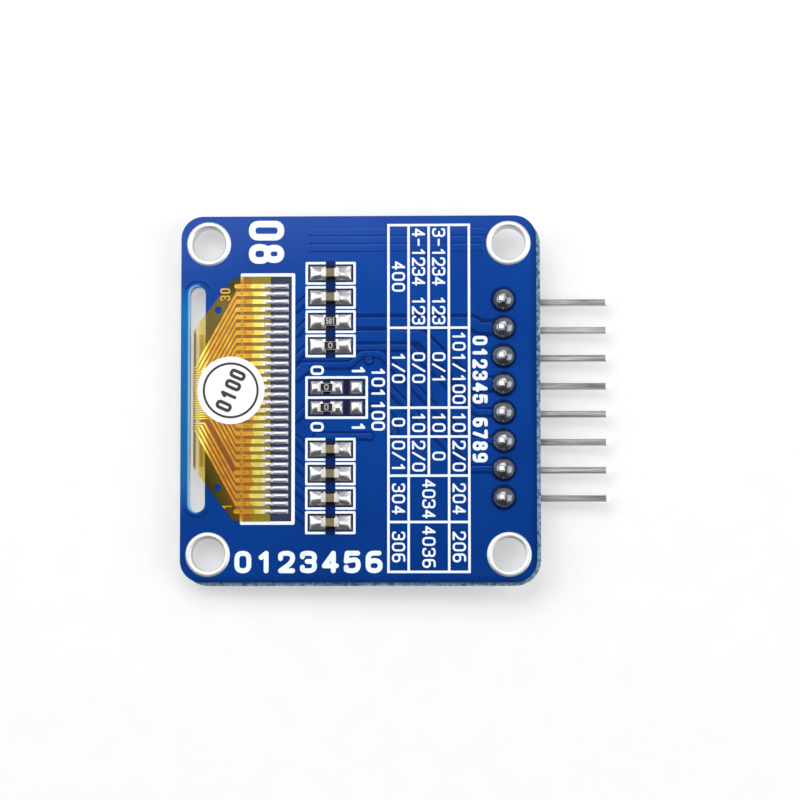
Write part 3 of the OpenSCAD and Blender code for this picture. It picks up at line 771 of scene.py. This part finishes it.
# Metals
ring_tin = surface("ring_tin", (214, 216, 218), (232, 232, 232), 0.6, (0.45, 0.55), Metallic=0.9)
tin = surface("tinned_copper", (186, 188, 190), (222, 222, 222), 1.6, (0.22, 0.36), 0.012, Metallic=1.0)
pad_edge = surface("pad_edge", (36, 42, 66), (56, 62, 86), 1.6, (0.4, 0.5), Metallic=0.4)
solder = surface("solder", (196, 196, 200), (216, 216, 216), 0.8, (0.26, 0.34), 0.0015, Metallic=1.0)
land_solder = surface("land_solder", (178, 178, 185), (200, 200, 205), 0.8, (0.43, 0.5), 0.0003,
                      Metallic=1.0)
joint_solder = surface("joint_solder", (108, 112, 122), (140, 144, 152), 0.7, (0.2, 0.27), 0.001,
                       Metallic=1.0)
end_metal = surface("end_metal", (186, 185, 180), (212, 210, 205), 3.0, (0.35, 0.5), 0.004, Metallic=0.6)
pin_metal = pin_finish()

# The flex cable and its sticker
film = film_finish()
conductor = conductor_finish()
paper = surface("sticker_paper", (235, 235, 238), (241, 241, 242), 2.0, (0.5, 0.65), 0.002)
via_dark = surface("via_dark", (70, 44, 20), (96, 62, 28), 8.0, (0.5, 0.7))

# Chip parts and the header's bar
ceramic = surface("capacitor_ceramic", (100, 89, 58), (124, 111, 76), 6.0, (0.4, 0.6), 0.008)
substrate = surface("resistor_ceramic", (226, 224, 216), (244, 242, 236), 5.0, (0.4, 0.6), 0.006)
glaze = surface("resistor_glaze", (28, 28, 30), (42, 42, 44), 5.0, (0.55, 0.7), 0.004,
                Specular_IOR_Level=0.2)
plastic = surface("header_plastic", (20, 20, 21), (32, 32, 33), 8.0, (0.42, 0.55), 0.012)

# The display panel
polarizer = surface("polarizer", (8, 8, 11), (13, 13, 18), 0.4, (0.12, 0.2), 0.001,
                    Coat_Weight=0.6, Coat_Roughness=0.06)
emitter = surface("emitter", (12, 13, 16), (20, 20, 26), 3.0, (0.25, 0.35))
silicon = surface("silicon", (58, 60, 68), (78, 80, 90), 2.0, (0.15, 0.25), Metallic=0.6)
tape = surface("tape", (206, 196, 170), (226, 218, 196), 3.0, (0.5, 0.7), 0.01)
desiccant = surface("desiccant", (224, 220, 206), (238, 236, 226), 6.0, (0.7, 0.9), 0.01)
cap_glass = surface("rear_cap", (118, 122, 126), (146, 150, 152), 1.0, (0.25, 0.4), 0.004, Metallic=0.4)
panel_glass = glass_finish("panel_glass", (226, 238, 236), 0.03)

FINISHES = {
    "circuit_board": mask,
    "mounting_hole_plating": ring_tin,
    "header_hole_plating": tin,
    "flex_landing_pads": tin,
    "component_pads": pad_edge,
    "legend_print": white_ink,
    "oled_substrate_glass": panel_glass,
    "oled_rear_cap": cap_glass,
    "emitter_layer": emitter,
    "desiccant_sheet": desiccant,
    "front_polarizer": polarizer,
    "driver_chip": silicon,
    "adhesive_tape": tape,
    "flex_film": film,
    "flex_traces": conductor,
    "flex_solder": solder,
    "inspection_sticker": paper,
    "header_body": plastic,
    "header_solder": joint_solder,
    "capacitor_end_caps": end_metal,
    "resistor_end_caps": end_metal,
    "resistor_overcoat": glaze,
    "component_solder": solder,
    "header_pin": pin_metal,
    "capacitor": ceramic,
    "resistor": substrate,
}


def dress_cad_nodes():
    """Numbered nodes share the finish of their family."""
    for name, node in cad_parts.items():
        family = name if name in FINISHES else name.rstrip("0123456789").rstrip("_")
        node.data.materials.clear()
        node.data.materials.append(FINISHES[family])


# Tracks under the mask

# Each kind of track is its width and the clearance beside it
POWER = (0.85, 0.38)
GROUND = (0.72, 0.42)
SIGNAL = (0.35, 0.28)
FAINT = (0.5, 0.04)
# Each track is its kind and the corners of its route
TRACKS = [
    (GROUND, [(-0.5, 6.85), (10.3, 6.85), (10.9, 6.35), (header_x, 6.35)]),
    (POWER, [(-0.4, 5.6), (5.6, 5.6), (9.9, 1.27), (header_x, 1.27)]),
    (SIGNAL, [(-0.5, 4.6), (4.7, 4.6), (10.6, -1.27), (header_x, -1.27)]),
    (SIGNAL, [(-5.0, 3.0), (-0.75, 3.0), (0.3, 4.0), (2.0, 4.0), (9.8, -3.81), (header_x, -3.81)]),
    (SIGNAL, [(0.4, 0.985), (2.7, 0.985), (10.0, -6.35), (header_x, -6.35)]),
    (SIGNAL, [(0.4, -0.825), (2.0, -0.825), (3.2, -2.0), (3.2, -3.0)]),
    (SIGNAL, [(-5.6, 2.4), (-4.9, 3.0)]),
    (SIGNAL, [(-5.6, 1.8), (-4.7, 2.6)]),
    (SIGNAL, [(-5.6, 3.6), (-4.6, 4.6)]),
    (SIGNAL, [(-5.6, 5.9), (-4.6, 6.85)]),
    (SIGNAL, [(-5.6, 8.1), (-4.6, 9.05)]),
    (SIGNAL, [(-5.6, -1.8), (-4.6, -0.825)]),
    (SIGNAL, [(-5.6, -3.6), (-4.6, -4.58)]),
    (SIGNAL, [(-5.6, -5.8), (-4.6, -6.77)]),
    (SIGNAL, [(-5.6, -8.0), (-4.6, -8.96)]),
    (SIGNAL, [(-5.6, -10.2), (-4.6, -11.15)]),
    (SIGNAL, [(-3.6, -3.4), (-1.0, -3.4), (1.0, -3.4)]),
    (FAINT, [(-4.3, 15.02), (11.3, 15.02)]),
    (FAINT, [(-4.3, 14.3), (11.0, 14.3)]),
    (FAINT, [(-4.3, 13.58), (11.0, 13.58)]),
]
TRACK_CORNER_R = 0.3
VIAS = [(0.96, 3.4), (1.0, -3.4), (3.2, -3.0), (-3.6, -3.4)]
VIA_PROFILE = [(0.08, 0.004), (0.16, 0.02), (0.26, 0.02), (0.33, 0.0)]
VIA_CLEAR_R = 0.5
# Degrees from the slot's right side over its end
SLOT_ARC = range(24, 168, 12)

# How far the darker mask reaches round the pads, the joints and the chip parts; round the chip parts it is
# painted shade, and round the joints it is partly painted shade
PAD_CLEAR = 0.13
LAND_CLEAR = 0.38
LAND_CLEAR_ENDS = 0.72
LAND_UNDER_FILM = 2.0
JOINT_CLEAR_R = 1.18
BODY_GAP = 0.45
BODY_GAP_ENDS = 1.1
around_t = MASK_GAP_T + len(TRACKS) * TRACK_STEP / 2


def spin(a, r, z):
    """A point of a plain round profile."""
    return r * math.cos(a), r * math.sin(a), z


def lay_tracks(gaps, tracks):
    """Raised mask over each track and via, in a margin of mask with no copper under it."""
    for k, (kind, route) in enumerate(TRACKS):
        width, clear = kind
        line = rounded(route, TRACK_CORNER_R)
        rise = k * TRACK_STEP
        thick = FAINT_T if kind == FAINT else TRACK_T
        ribbon(gaps, line, width + 2 * clear, 0.0, MASK_GAP_T + rise / 2)
        ribbon(tracks, line, width, 0.0, thick + rise, TRACK_SLOPE)
    for x, y in VIAS:
        disc(gaps, x, y, VIA_CLEAR_R, 0.0, MASK_GAP_T)
        lathe(tracks, x, y, VIA_PROFILE, ROUND_STEPS, spin)


def line_slot_ends(gaps):
    """A line of mask with no copper under it, round each end of the slot."""
    arc_r = slot_r + SLOT_CLEAR
    turns = [math.radians(degrees) for degrees in SLOT_ARC]
    for way in (1, -1):
        arc = [(slot_x + arc_r * math.cos(a), way * (slot_turn_y + arc_r * math.sin(a))) for a in turns]
        ribbon(gaps, arc, SLOT_LINE_W, 0.0, MASK_GAP_T)


def shade_chip_pads(shaded_wells, part, inner, outer, width):
    """Dark mask round the pads of one chip part, which is painted shade under and beside the chip."""
    plate(shaded_wells, part.x - inner - PAD_CLEAR, part.x + outer + PAD_CLEAR,
          part.y - width / 2 - PAD_CLEAR, part.y + width / 2 + PAD_CLEAR, 0.0, around_t + 2 * TRACK_STEP)


def open_columns(gaps):
    """Mask with no copper under it, down the middle of each column of chip parts."""
    for chips in (upper_chips, lower_chips):
        ys = [part.y for part in chips]
        plate(gaps, chips[0].x - BODY_GAP, chips[0].x + BODY_GAP,
              min(ys) - BODY_GAP_ENDS, max(ys) + BODY_GAP_ENDS, 0.0, around_t + TRACK_STEP)


def make_mask():
    gaps, shade, shaded_wells, tracks = Bag(), Bag(), Bag(), Bag()
    lay_tracks(gaps, tracks)
    line_slot_ends(gaps)
    # A ring of mask with no copper under it round each joint, which also stands for the shade round the
    # joint's foot, so it is partly painted shade
    for pin in pins:
        disc(gaps, header_x, pin.y, JOINT_CLEAR_R, 0.0, around_t)
    plate(shade, film_end - LAND_UNDER_FILM, land_high.x + LAND_CLEAR,
          land_low.y - LAND_CLEAR_ENDS, land_high.y + LAND_CLEAR_ENDS, 0.0, around_t)
    # Painted shade round and under each chip part
    for part in capacitors + column_resistors:
        shade_chip_pads(shaded_wells, part, PAD_OUT, PAD_OUT, PAD_W)
    for part in links:
        shade_chip_pads(shaded_wells, part, LINK_OUT, LINK_OUT + LINK_PITCH, LINK_W)
    open_columns(gaps)
    gaps.piece("mask_over_laminate", mask_gap, "solder_mask")
    shade.piece("mask_between_pads", mask_shade, "solder_mask")
    # The painted shade round the chip parts
    shaded_wells.piece("painted_shade_round_chips", mask_painted_shade, "solder_mask")
    tracks.piece("mask_over_tracks", mask, "solder_mask")


# Printed numbers

# Table cells as (row, first column, last column, number)
CELLS = [
    (0, 0, 0, "400"), (0, 1, 1, "4-1234 123"), (0, 2, 2, "3-1234 123"),
    (1, 0, 0, "1/0"), (1, 1, 1, "0/0"), (1, 2, 2, "0/1"), (1, 3, 3, "101/100"),
    (2, 0, 0, "0"), (2, 1, 1, "10"), (2, 2, 2, "10"), (2, 3, 3, "10"),
    (3, 0, 0, "0/1"), (3, 1, 1, "2/0"), (3, 2, 2, "0"), (3, 3, 3, "2/0"),
    (4, 0, 0, "304"), (4, 1, 2, "4034"), (4, 3, 3, "204"),
    (5, 0, 0, "306"), (5, 1, 2, "4036"), (5, 3, 3, "206"),
]
CELL_STEP = 0.82
CELL_CLEAR = 0.5

# How each kind of number is written
CELL = {"cap": 1.2, "stroke": 0.18, "turn": READ_DOWN, "share": 0.66}
LINK_STATE = {"cap": 1.22, "stroke": 0.22, "turn": READ_DOWN, "share": 0.7}
LINK_NAME = {"cap": 1.24, "stroke": 0.2, "turn": READ_DOWN, "share": 0.66}
SIDE_LINE = {"cap": 1.35, "stroke": 0.3, "turn": READ_DOWN, "step": 0.78, "share": 0.62}
FOOT_LINE = {"cap": 2.0, "stroke": 0.44, "turn": 0.0, "step": 0.98, "share": 0.76}
CORNER_SIGN = {"cap": 3.2, "stroke": 0.6, "turn": READ_DOWN, "step": 0.66, "share": 0.56}
CHIP_CODE = {"cap": 0.54, "stroke": 0.085, "turn": 0.0, "step": 0.52}
STICKER_CODE = {"cap": 1.5, "stroke": 0.3, "turn": math.radians(66), "step": 0.68, "share": 0.55}
FINGER_CODE = {"cap": 0.92, "stroke": 0.13, "turn": math.pi / 2, "step": 0.7}

# Numbers outside the table as (number, x, y, kind)
LABELS = [
    ("0", -3.7, 2.54, LINK_STATE), ("0", -3.7, -2.55, LINK_STATE),
    ("1", 0.01, 2.54, LINK_STATE), ("1", 0.01, -2.55, LINK_STATE),
    ("101", 1.79, 1.45, LINK_NAME), ("100", 1.79, -1.55, LINK_NAME),
    ("012345 6789", 10.93, -0.08, SIDE_LINE),
    ("0123456", -4.45, -14.66, FOOT_LINE),
    ("08", -8.3, 14.15, CORNER_SIGN),
]

# The code on each resistor, and the width of its numerals
CHIP_CODES = [("501", 0.42), ("0", 0.7), ("0", 0.7), ("0", 0.7)]
CODE_T = 0.006


def make_numbers():
    ink = Bag()
    for row, first, last, text in CELLS:
        x = table_left + (first + last + 1) / 2 * COLUMN_W
        y = table_top - sum(ROW_H[:row]) - ROW_H[row] / 2
        step = min(CELL_STEP, (ROW_H[row] - CELL_CLEAR) / (len(text) * CELL["cap"]))
        write(ink, text, x, y, 0.0, PRINT_T, step=step, **CELL)
    for text, x, y, kind in LABELS:
        write(ink, text, x, y, 0.0, PRINT_T, **kind)
    ink.piece("printed_numbers", white_ink, "white_print")


def make_resistor_codes():
    ink = Bag()
    for part, (text, share) in zip(resistors, CHIP_CODES):
        write(ink, text, part.x, part.y, code_z, code_z + CODE_T, share=share, **CHIP_CODE)
    ink.piece("resistor_codes", code_ink, "white_print")


# Flex cable

RING_R = 2.42
RING_W = 0.2
RING_STEPS = 96
INK_SINK = 0.002
INK_T = 0.008
FLEX_MARKS = [("30", -12.0, 9.4), ("1", -11.75, -9.73)]
MARK_SINK = 0.025
MARK_T = 0.02
# The vias in the fingers stand in two rows
FLEX_VIA_X = (-10.51, -10.2)
FLEX_VIA_R = 0.075
FLEX_VIA_SINK = 0.002
FLEX_VIA_T = 0.003


def fold_drop(x, radius):
    """How far a sheet at that radius has dropped below its flat top at x."""
    reach = max(0.0, fold_x - x)
    return math.sqrt(max(0.0, radius ** 2 - reach ** 2)) - radius


def make_sticker_print():
    """A ring and a number that follow the sticker over the fold."""
    ink = Bag()
    low, high = sticker_high.z - INK_SINK, sticker_high.z + INK_T

    def follow(x):
        return fold_drop(x, fold_r + sticker_t)

    ring = circle(sticker_x, sticker_y, RING_R, RING_STEPS)
    ribbon(ink, ring + ring[:1], RING_W, low, high, lift=follow)
    write(ink, "0100", sticker_x, sticker_y, low, high, lift=follow, **STICKER_CODE)
    ink.piece("sticker_print", black_ink, "sticker_paper")


def make_flex_marks():
    copper, holes = Bag(), Bag()
    low = trace_high.z - MARK_SINK
    for text, x, y in FLEX_MARKS:
        write(copper, text, x, y, low, low + MARK_T, **FINGER_CODE)
    copper.piece("flex_numerals", conductor, "copper")
    for k, y in enumerate(finger_ys):
        x = FLEX_VIA_X[k % 2]
        if math.hypot(x - sticker_x, y - sticker_y) > sticker_r + STICKER_CLEAR:
            disc(holes, x, y, FLEX_VIA_R, trace_high.z - FLEX_VIA_SINK, trace_high.z + FLEX_VIA_T)
    holes.piece("flex_vias", via_dark, "copper")


# Solder on the flex cable's fingers

# How far it laps over the film, and less where the sticker is near
FILM_LAP = 0.6
FILM_LAP_SHORT = 0.35
FILM_LAP_LEAST = 0.75
FILM_CROWN = 0.05
PAD_CROWN = 0.06
FINGER_SKIN = 0.006
STEP_DOWN_L = 0.3
END_RISE = 6
LUMP_H = 0.12
LUMP_RATE = 9
WAVE_MAX = 6.28
FINGER_INSET = 0.01
LAND_INSET = 0.02
FINGER_GRID = (36, 10)


def finger_height(start, end, wave):
    """Solder that lies on the film and steps down to the pad."""
    crest = trace_high.z - pad_top

    def height(u, v):
        x = start + u * (end - start)
        drop = max(0.0, min(1.0, (x - film_end) / STEP_DOWN_L))
        base = crest * (1 - drop * drop * (3 - 2 * drop))
        side = max(0.0, 1 - (2 * v - 1) ** 2)
        ends = min(1.0, END_RISE * u, END_RISE * (1 - u))
        lump = 1 + LUMP_H * math.sin(LUMP_RATE * x + wave) * (1 - drop)
        crown = PAD_CROWN * drop + FILM_CROWN * (1 - drop)
        return base + FINGER_SKIN + crown * side * ends * (2 - ends) * lump

    return height


def make_flex_solder():
    rng = random.Random(SEED)
    bag = Bag()
    half = FINGER_W / 2 - FINGER_INSET
    end = land_high.x - LAND_INSET
    for y in finger_ys:
        start = film_end - FILM_LAP * rng.uniform(FILM_LAP_LEAST, 1.0)
        if math.hypot(film_end - FILM_LAP - sticker_x, y - sticker_y) < sticker_r + STICKER_CLEAR:
            start = film_end - FILM_LAP_SHORT
        wave = rng.uniform(0, WAVE_MAX)
        mound(bag, (start, y - half), (end, y + half), finger_height(start, end, wave), *FINGER_GRID)
    made = bag.piece("flex_solder_joints", land_solder, "solder", True)
    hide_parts("flex_solder")


# Solder on the chip parts' pads

SOLDER_EDGE = 0.02
SOLDER_INSET = 0.08
FILLET_LOW = 0.19
# The least and the most of a chip's height that its solder climbs
FILLET_CLIMB = (0.48, 0.58)
FILLET_LEAN = 0.12
FILLET_INNER = 0.3
FILLET_GRID = (30, 26)
CUSHION_H = 0.24
CUSHION_X_POWER = 2.6
CUSHION_Y_POWER = 2.2
CUSHION_GRID = (24, 24)


def fillet_height(near, far, rise, lean):
    """Highest against the chip's end, falling outwards, and rounded down to each side."""
    chip_end = CHIP_L / 2

    def height(u, v):
        x = near + u * (far - near)
        out = max(0.0, (x - chip_end) / (far - chip_end))
        under = min(1.0, (x - near) / (chip_end - near))
        side = 2 * v - 1
        across = abs(side + lean * (1 - side ** 2))
        crest = FILLET_LOW + (rise - FILLET_LOW) * (1 - out) ** 2
        ends = math.sqrt(max(0.0, 1 - out ** 4)) * (FILLET_INNER + (1 - FILLET_INNER) * under * under)
        return SOLDER_EDGE + crest * ends * max(0.0, 1 - across ** 2)

    return height


def fillet(bag, part, way, inner, outer, width, chip_h, rng):
    """Solder on the pad at one end of a chip part."""
    rise = chip_h * rng.uniform(*FILLET_CLIMB)
    lean = rng.uniform(-FILLET_LEAN, FILLET_LEAN)
    near, far = inner + SOLDER_INSET, outer - SOLDER_INSET
    half = width / 2 - SOLDER_INSET
    mound(bag, (part.x + way * near, part.y - way * half), (part.x + way * far, part.y + way * half),
          fillet_height(near, far, rise, lean), *FILLET_GRID)


def cushion(bag, x, y, length, width):
    """A low round heap of solder on a bare pad."""
    def height(u, v):
        round_x = 1 - abs(2 * u - 1) ** CUSHION_X_POWER
        round_y = 1 - abs(2 * v - 1) ** CUSHION_Y_POWER
        return SOLDER_EDGE + CUSHION_H * math.sqrt(max(0.0, round_x * round_y))

    mound(bag, (x - length / 2, y - width / 2), (x + length / 2, y + width / 2), height, *CUSHION_GRID)


def make_component_solder():
    rng = random.Random(SEED + 1)
    bag = Bag()
    capacitor_h = box_mm("capacitor_end_caps")[1].z - pad_top
    resistor_h = box_mm("resistor_end_caps")[1].z - pad_top
    for way in (1, -1):
        for part in capacitors:
            fillet(bag, part, way, PAD_IN, PAD_OUT, PAD_W, capacitor_h, rng)
        for part in column_resistors:
            fillet(bag, part, way, PAD_IN, PAD_OUT, PAD_W, resistor_h, rng)
        for part in links:
            fillet(bag, part, way, LINK_IN, LINK_OUT, LINK_W, resistor_h, rng)
    for part in links:
        cushion(bag, part.x + 1.5 * LINK_PITCH, part.y,
                LINK_OUT - LINK_IN - 2 * SOLDER_INSET, LINK_W - 2 * SOLDER_INSET)
    made = bag.piece("chip_solder_joints", solder, "solder", True)
    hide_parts("component_solder")


# Solder on the pins

JOINT_SPREAD = 0.09
JOINT_H = 0.88
JOINT_H_RANGE = (0.92, 1.08)
JOINT_SHIFT_X = 0.14
JOINT_SHIFT_Y = 0.12
JOINT_WAVE = 0.02
JOINT_STEPS = 48
DOME_STEPS = 18
DOME_POWER = 0.85
TIP_R = 0.04
HOLE_R = 0.5


def joint_profile(tall):
    """Radius and height down a joint: its dome, then its plug in the plated hole."""
    base_r = joint_high.y - pins[0].y + JOINT_SPREAD
    foot = board_low.z - pad_top
    profile = []
    for k in range(DOME_STEPS + 1):
        a = math.pi / 2 * k / DOME_STEPS
        profile.append((TIP_R + (base_r - TIP_R) * math.sin(a), pad_top + tall * math.cos(a) ** DOME_POWER))
    return profile + [(HOLE_R, pad_top), (HOLE_R, foot), (TIP_R, foot)]


def joint_shape(tall, shift_x, shift_y, lobes):
    """A joint that leans and bulges more the higher it is."""
    def shape(a, r, z):
        up = max(0.0, (z - pad_top) / tall)
        reach = r * (1 + JOINT_WAVE * math.sin(2 * a + lobes) * up)
        return reach * math.cos(a) + shift_x * up, reach * math.sin(a) + shift_y * up, z

    return shape


def make_pin_joints():
    """Full round joints on the pins, each a little different."""
    rng = random.Random(SEED + 2)
    bag = Bag()
    for pin in pins:
        tall = JOINT_H * rng.uniform(*JOINT_H_RANGE)
        shift_x = rng.uniform(0.0, JOINT_SHIFT_X)
        shift_y = rng.uniform(-JOINT_SHIFT_Y, 0.0)
        lobes = rng.uniform(0, WAVE_MAX)
        shape = joint_shape(tall, shift_x, shift_y, lobes)
        lathe(bag, header_x, pin.y, joint_profile(tall), JOINT_STEPS, shape)
    made = bag.piece("pin_solder_joints", joint_solder, "solder", True)
    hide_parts("header_solder")


# Floor, light and camera

# The module leans on the header bar and on the edge of the panel
bar_low = box_mm("header_body")[0]
panel_low = box_mm("front_polarizer")[0]
FLOOR_R = 900.0
FLOOR_FILL = 0.44
LAMPS = {
    "key": {"place": (-30, 147, 290), "size": 200, "power": 0.6},
    "west": {"place": (-195, 45, 258), "size": 220, "power": 0.36},
    "east": {"place": (230, -20, 220), "size": 260, "power": 0.46},
}
# The sky's strength is a product of steps: each has an axis, the strength at either end and its range
SKY = [("Z", 0.45, 0.1, 0.55, 0.93), ("Y", 0.2, 1.45, -1.0, 1.0), ("X", 0.75, 1.2, -1.0, 1.0)]
CAMERA_AT = (12.07, -19.29, 252.54)
# The camera's right, up and back
CAMERA_AXES = ((0.99946, -0.00032, -0.03297), (0.0028, 0.99714, 0.07546), (0.03285, -0.07551, 0.9966))
LENS, SENSOR = 127.1, 36.0
# How near and how far the camera sees, in metres
CLIP_START, CLIP_END = 0.01, 10


def floor_finish():
    """White paper that keeps its shadow, lifted for the eye and for mirrors, and clear from below."""
    look = Look("white_paper")
    grain = look.rise(look.noise(0.3))
    look.set(Base_Color=look.mix(grain, srgb(182, 182, 184), srgb(186, 186, 187)), Roughness=0.9)
    path = look.node("ShaderNodeLightPath")
    seen = look.maths("MAXIMUM", path.outputs["Is Camera Ray"], path.outputs["Is Glossy Ray"])
    seen = look.maths("MAXIMUM", seen, path.outputs["Is Transmission Ray"])
    glow = look.node("ShaderNodeEmission", {
        "Color": (1, 1, 1, 1), "Strength": look.maths("MULTIPLY", seen, FLOOR_FILL),
    })
    both = look.node("ShaderNodeAddShader", {0: look.shader.outputs[0], 1: glow.outputs[0]})
    below = look.node("ShaderNodeNewGeometry").outputs["Backfacing"]
    clear = look.node("ShaderNodeBsdfTransparent")
    sheet = look.node("ShaderNodeMixShader", {0: below, 1: both.outputs[0], 2: clear.outputs[0]})
    look.feed(look.output.inputs["Surface"], sheet.outputs[0])
    return look.material


def make_floor():
    fall = (bar_low.z - panel_low.z) / (bar_low.x - panel_low.x)
    mesh = bpy.data.meshes.new("floor")
    corners = [(x * FLOOR_R, y * FLOOR_R) for x, y in ((-1, -1), (1, -1), (1, 1), (-1, 1))]
    verts = [(x * MM, y * MM, (bar_low.z + (x - bar_low.x) * fall) * MM) for x, y in corners]
    mesh.from_pydata(verts, [], [(0, 1, 2, 3)])
    mesh.materials.append(floor_finish())
    floor = bpy.data.objects.new("floor", mesh)
    bpy.context.scene.collection.objects.link(floor)


def make_lamp(name, place, size, power):
    """A square lamp that faces the module."""
    lamp = bpy.data.lights.new(name, "AREA")
    lamp.shape = "SQUARE"
    lamp.size = size * MM
    lamp.energy = power
    made = bpy.data.objects.new(name, lamp)
    made.location = Vector(place) * MM
    made.rotation_euler = (-made.location).to_track_quat("-Z", "Y").to_euler()
    bpy.context.scene.collection.objects.link(made)


def make_world():
    """A white tent: dim overhead, bright at its sides, and brightest in the north and the east."""
    world = bpy.data.worlds.new("studio")
    world.use_nodes = True
    nodes = Nodes(world.node_tree)
    place = nodes.node("ShaderNodeTexCoord").outputs["Generated"]
    way = nodes.node("ShaderNodeSeparateXYZ", {"Vector": place}).outputs
    strength = 1.0
    for axis, *step in SKY:
        strength = nodes.maths("MULTIPLY", strength, nodes.span(way[axis], *step))
    sky = world.node_tree.nodes["Background"]
    nodes.feed(sky.inputs["Color"], (1, 1, 1, 1))
    nodes.feed(sky.inputs["Strength"], strength)
    bpy.context.scene.world = world


def make_camera():
    lens = bpy.data.cameras.new("camera")
    lens.lens = LENS
    lens.sensor_width = SENSOR
    lens.clip_start = CLIP_START
    lens.clip_end = CLIP_END
    camera = bpy.data.objects.new("camera", lens)
    turn = Matrix(CAMERA_AXES).transposed().to_4x4()
    camera.matrix_world = Matrix.Translation(Vector(CAMERA_AT) * MM) @ turn
    bpy.context.scene.collection.objects.link(camera)
    bpy.context.scene.camera = camera


dress_cad_nodes()
make_mask()
make_numbers()
make_resistor_codes()
make_sticker_print()
make_flex_marks()
make_flex_solder()
make_component_solder()
make_pin_joints()
make_floor()
for lamp_name, lamp_values in LAMPS.items():
    make_lamp(lamp_name, **lamp_values)
make_world()
make_camera()
bpy.context.scene.view_settings.view_transform = "Standard"
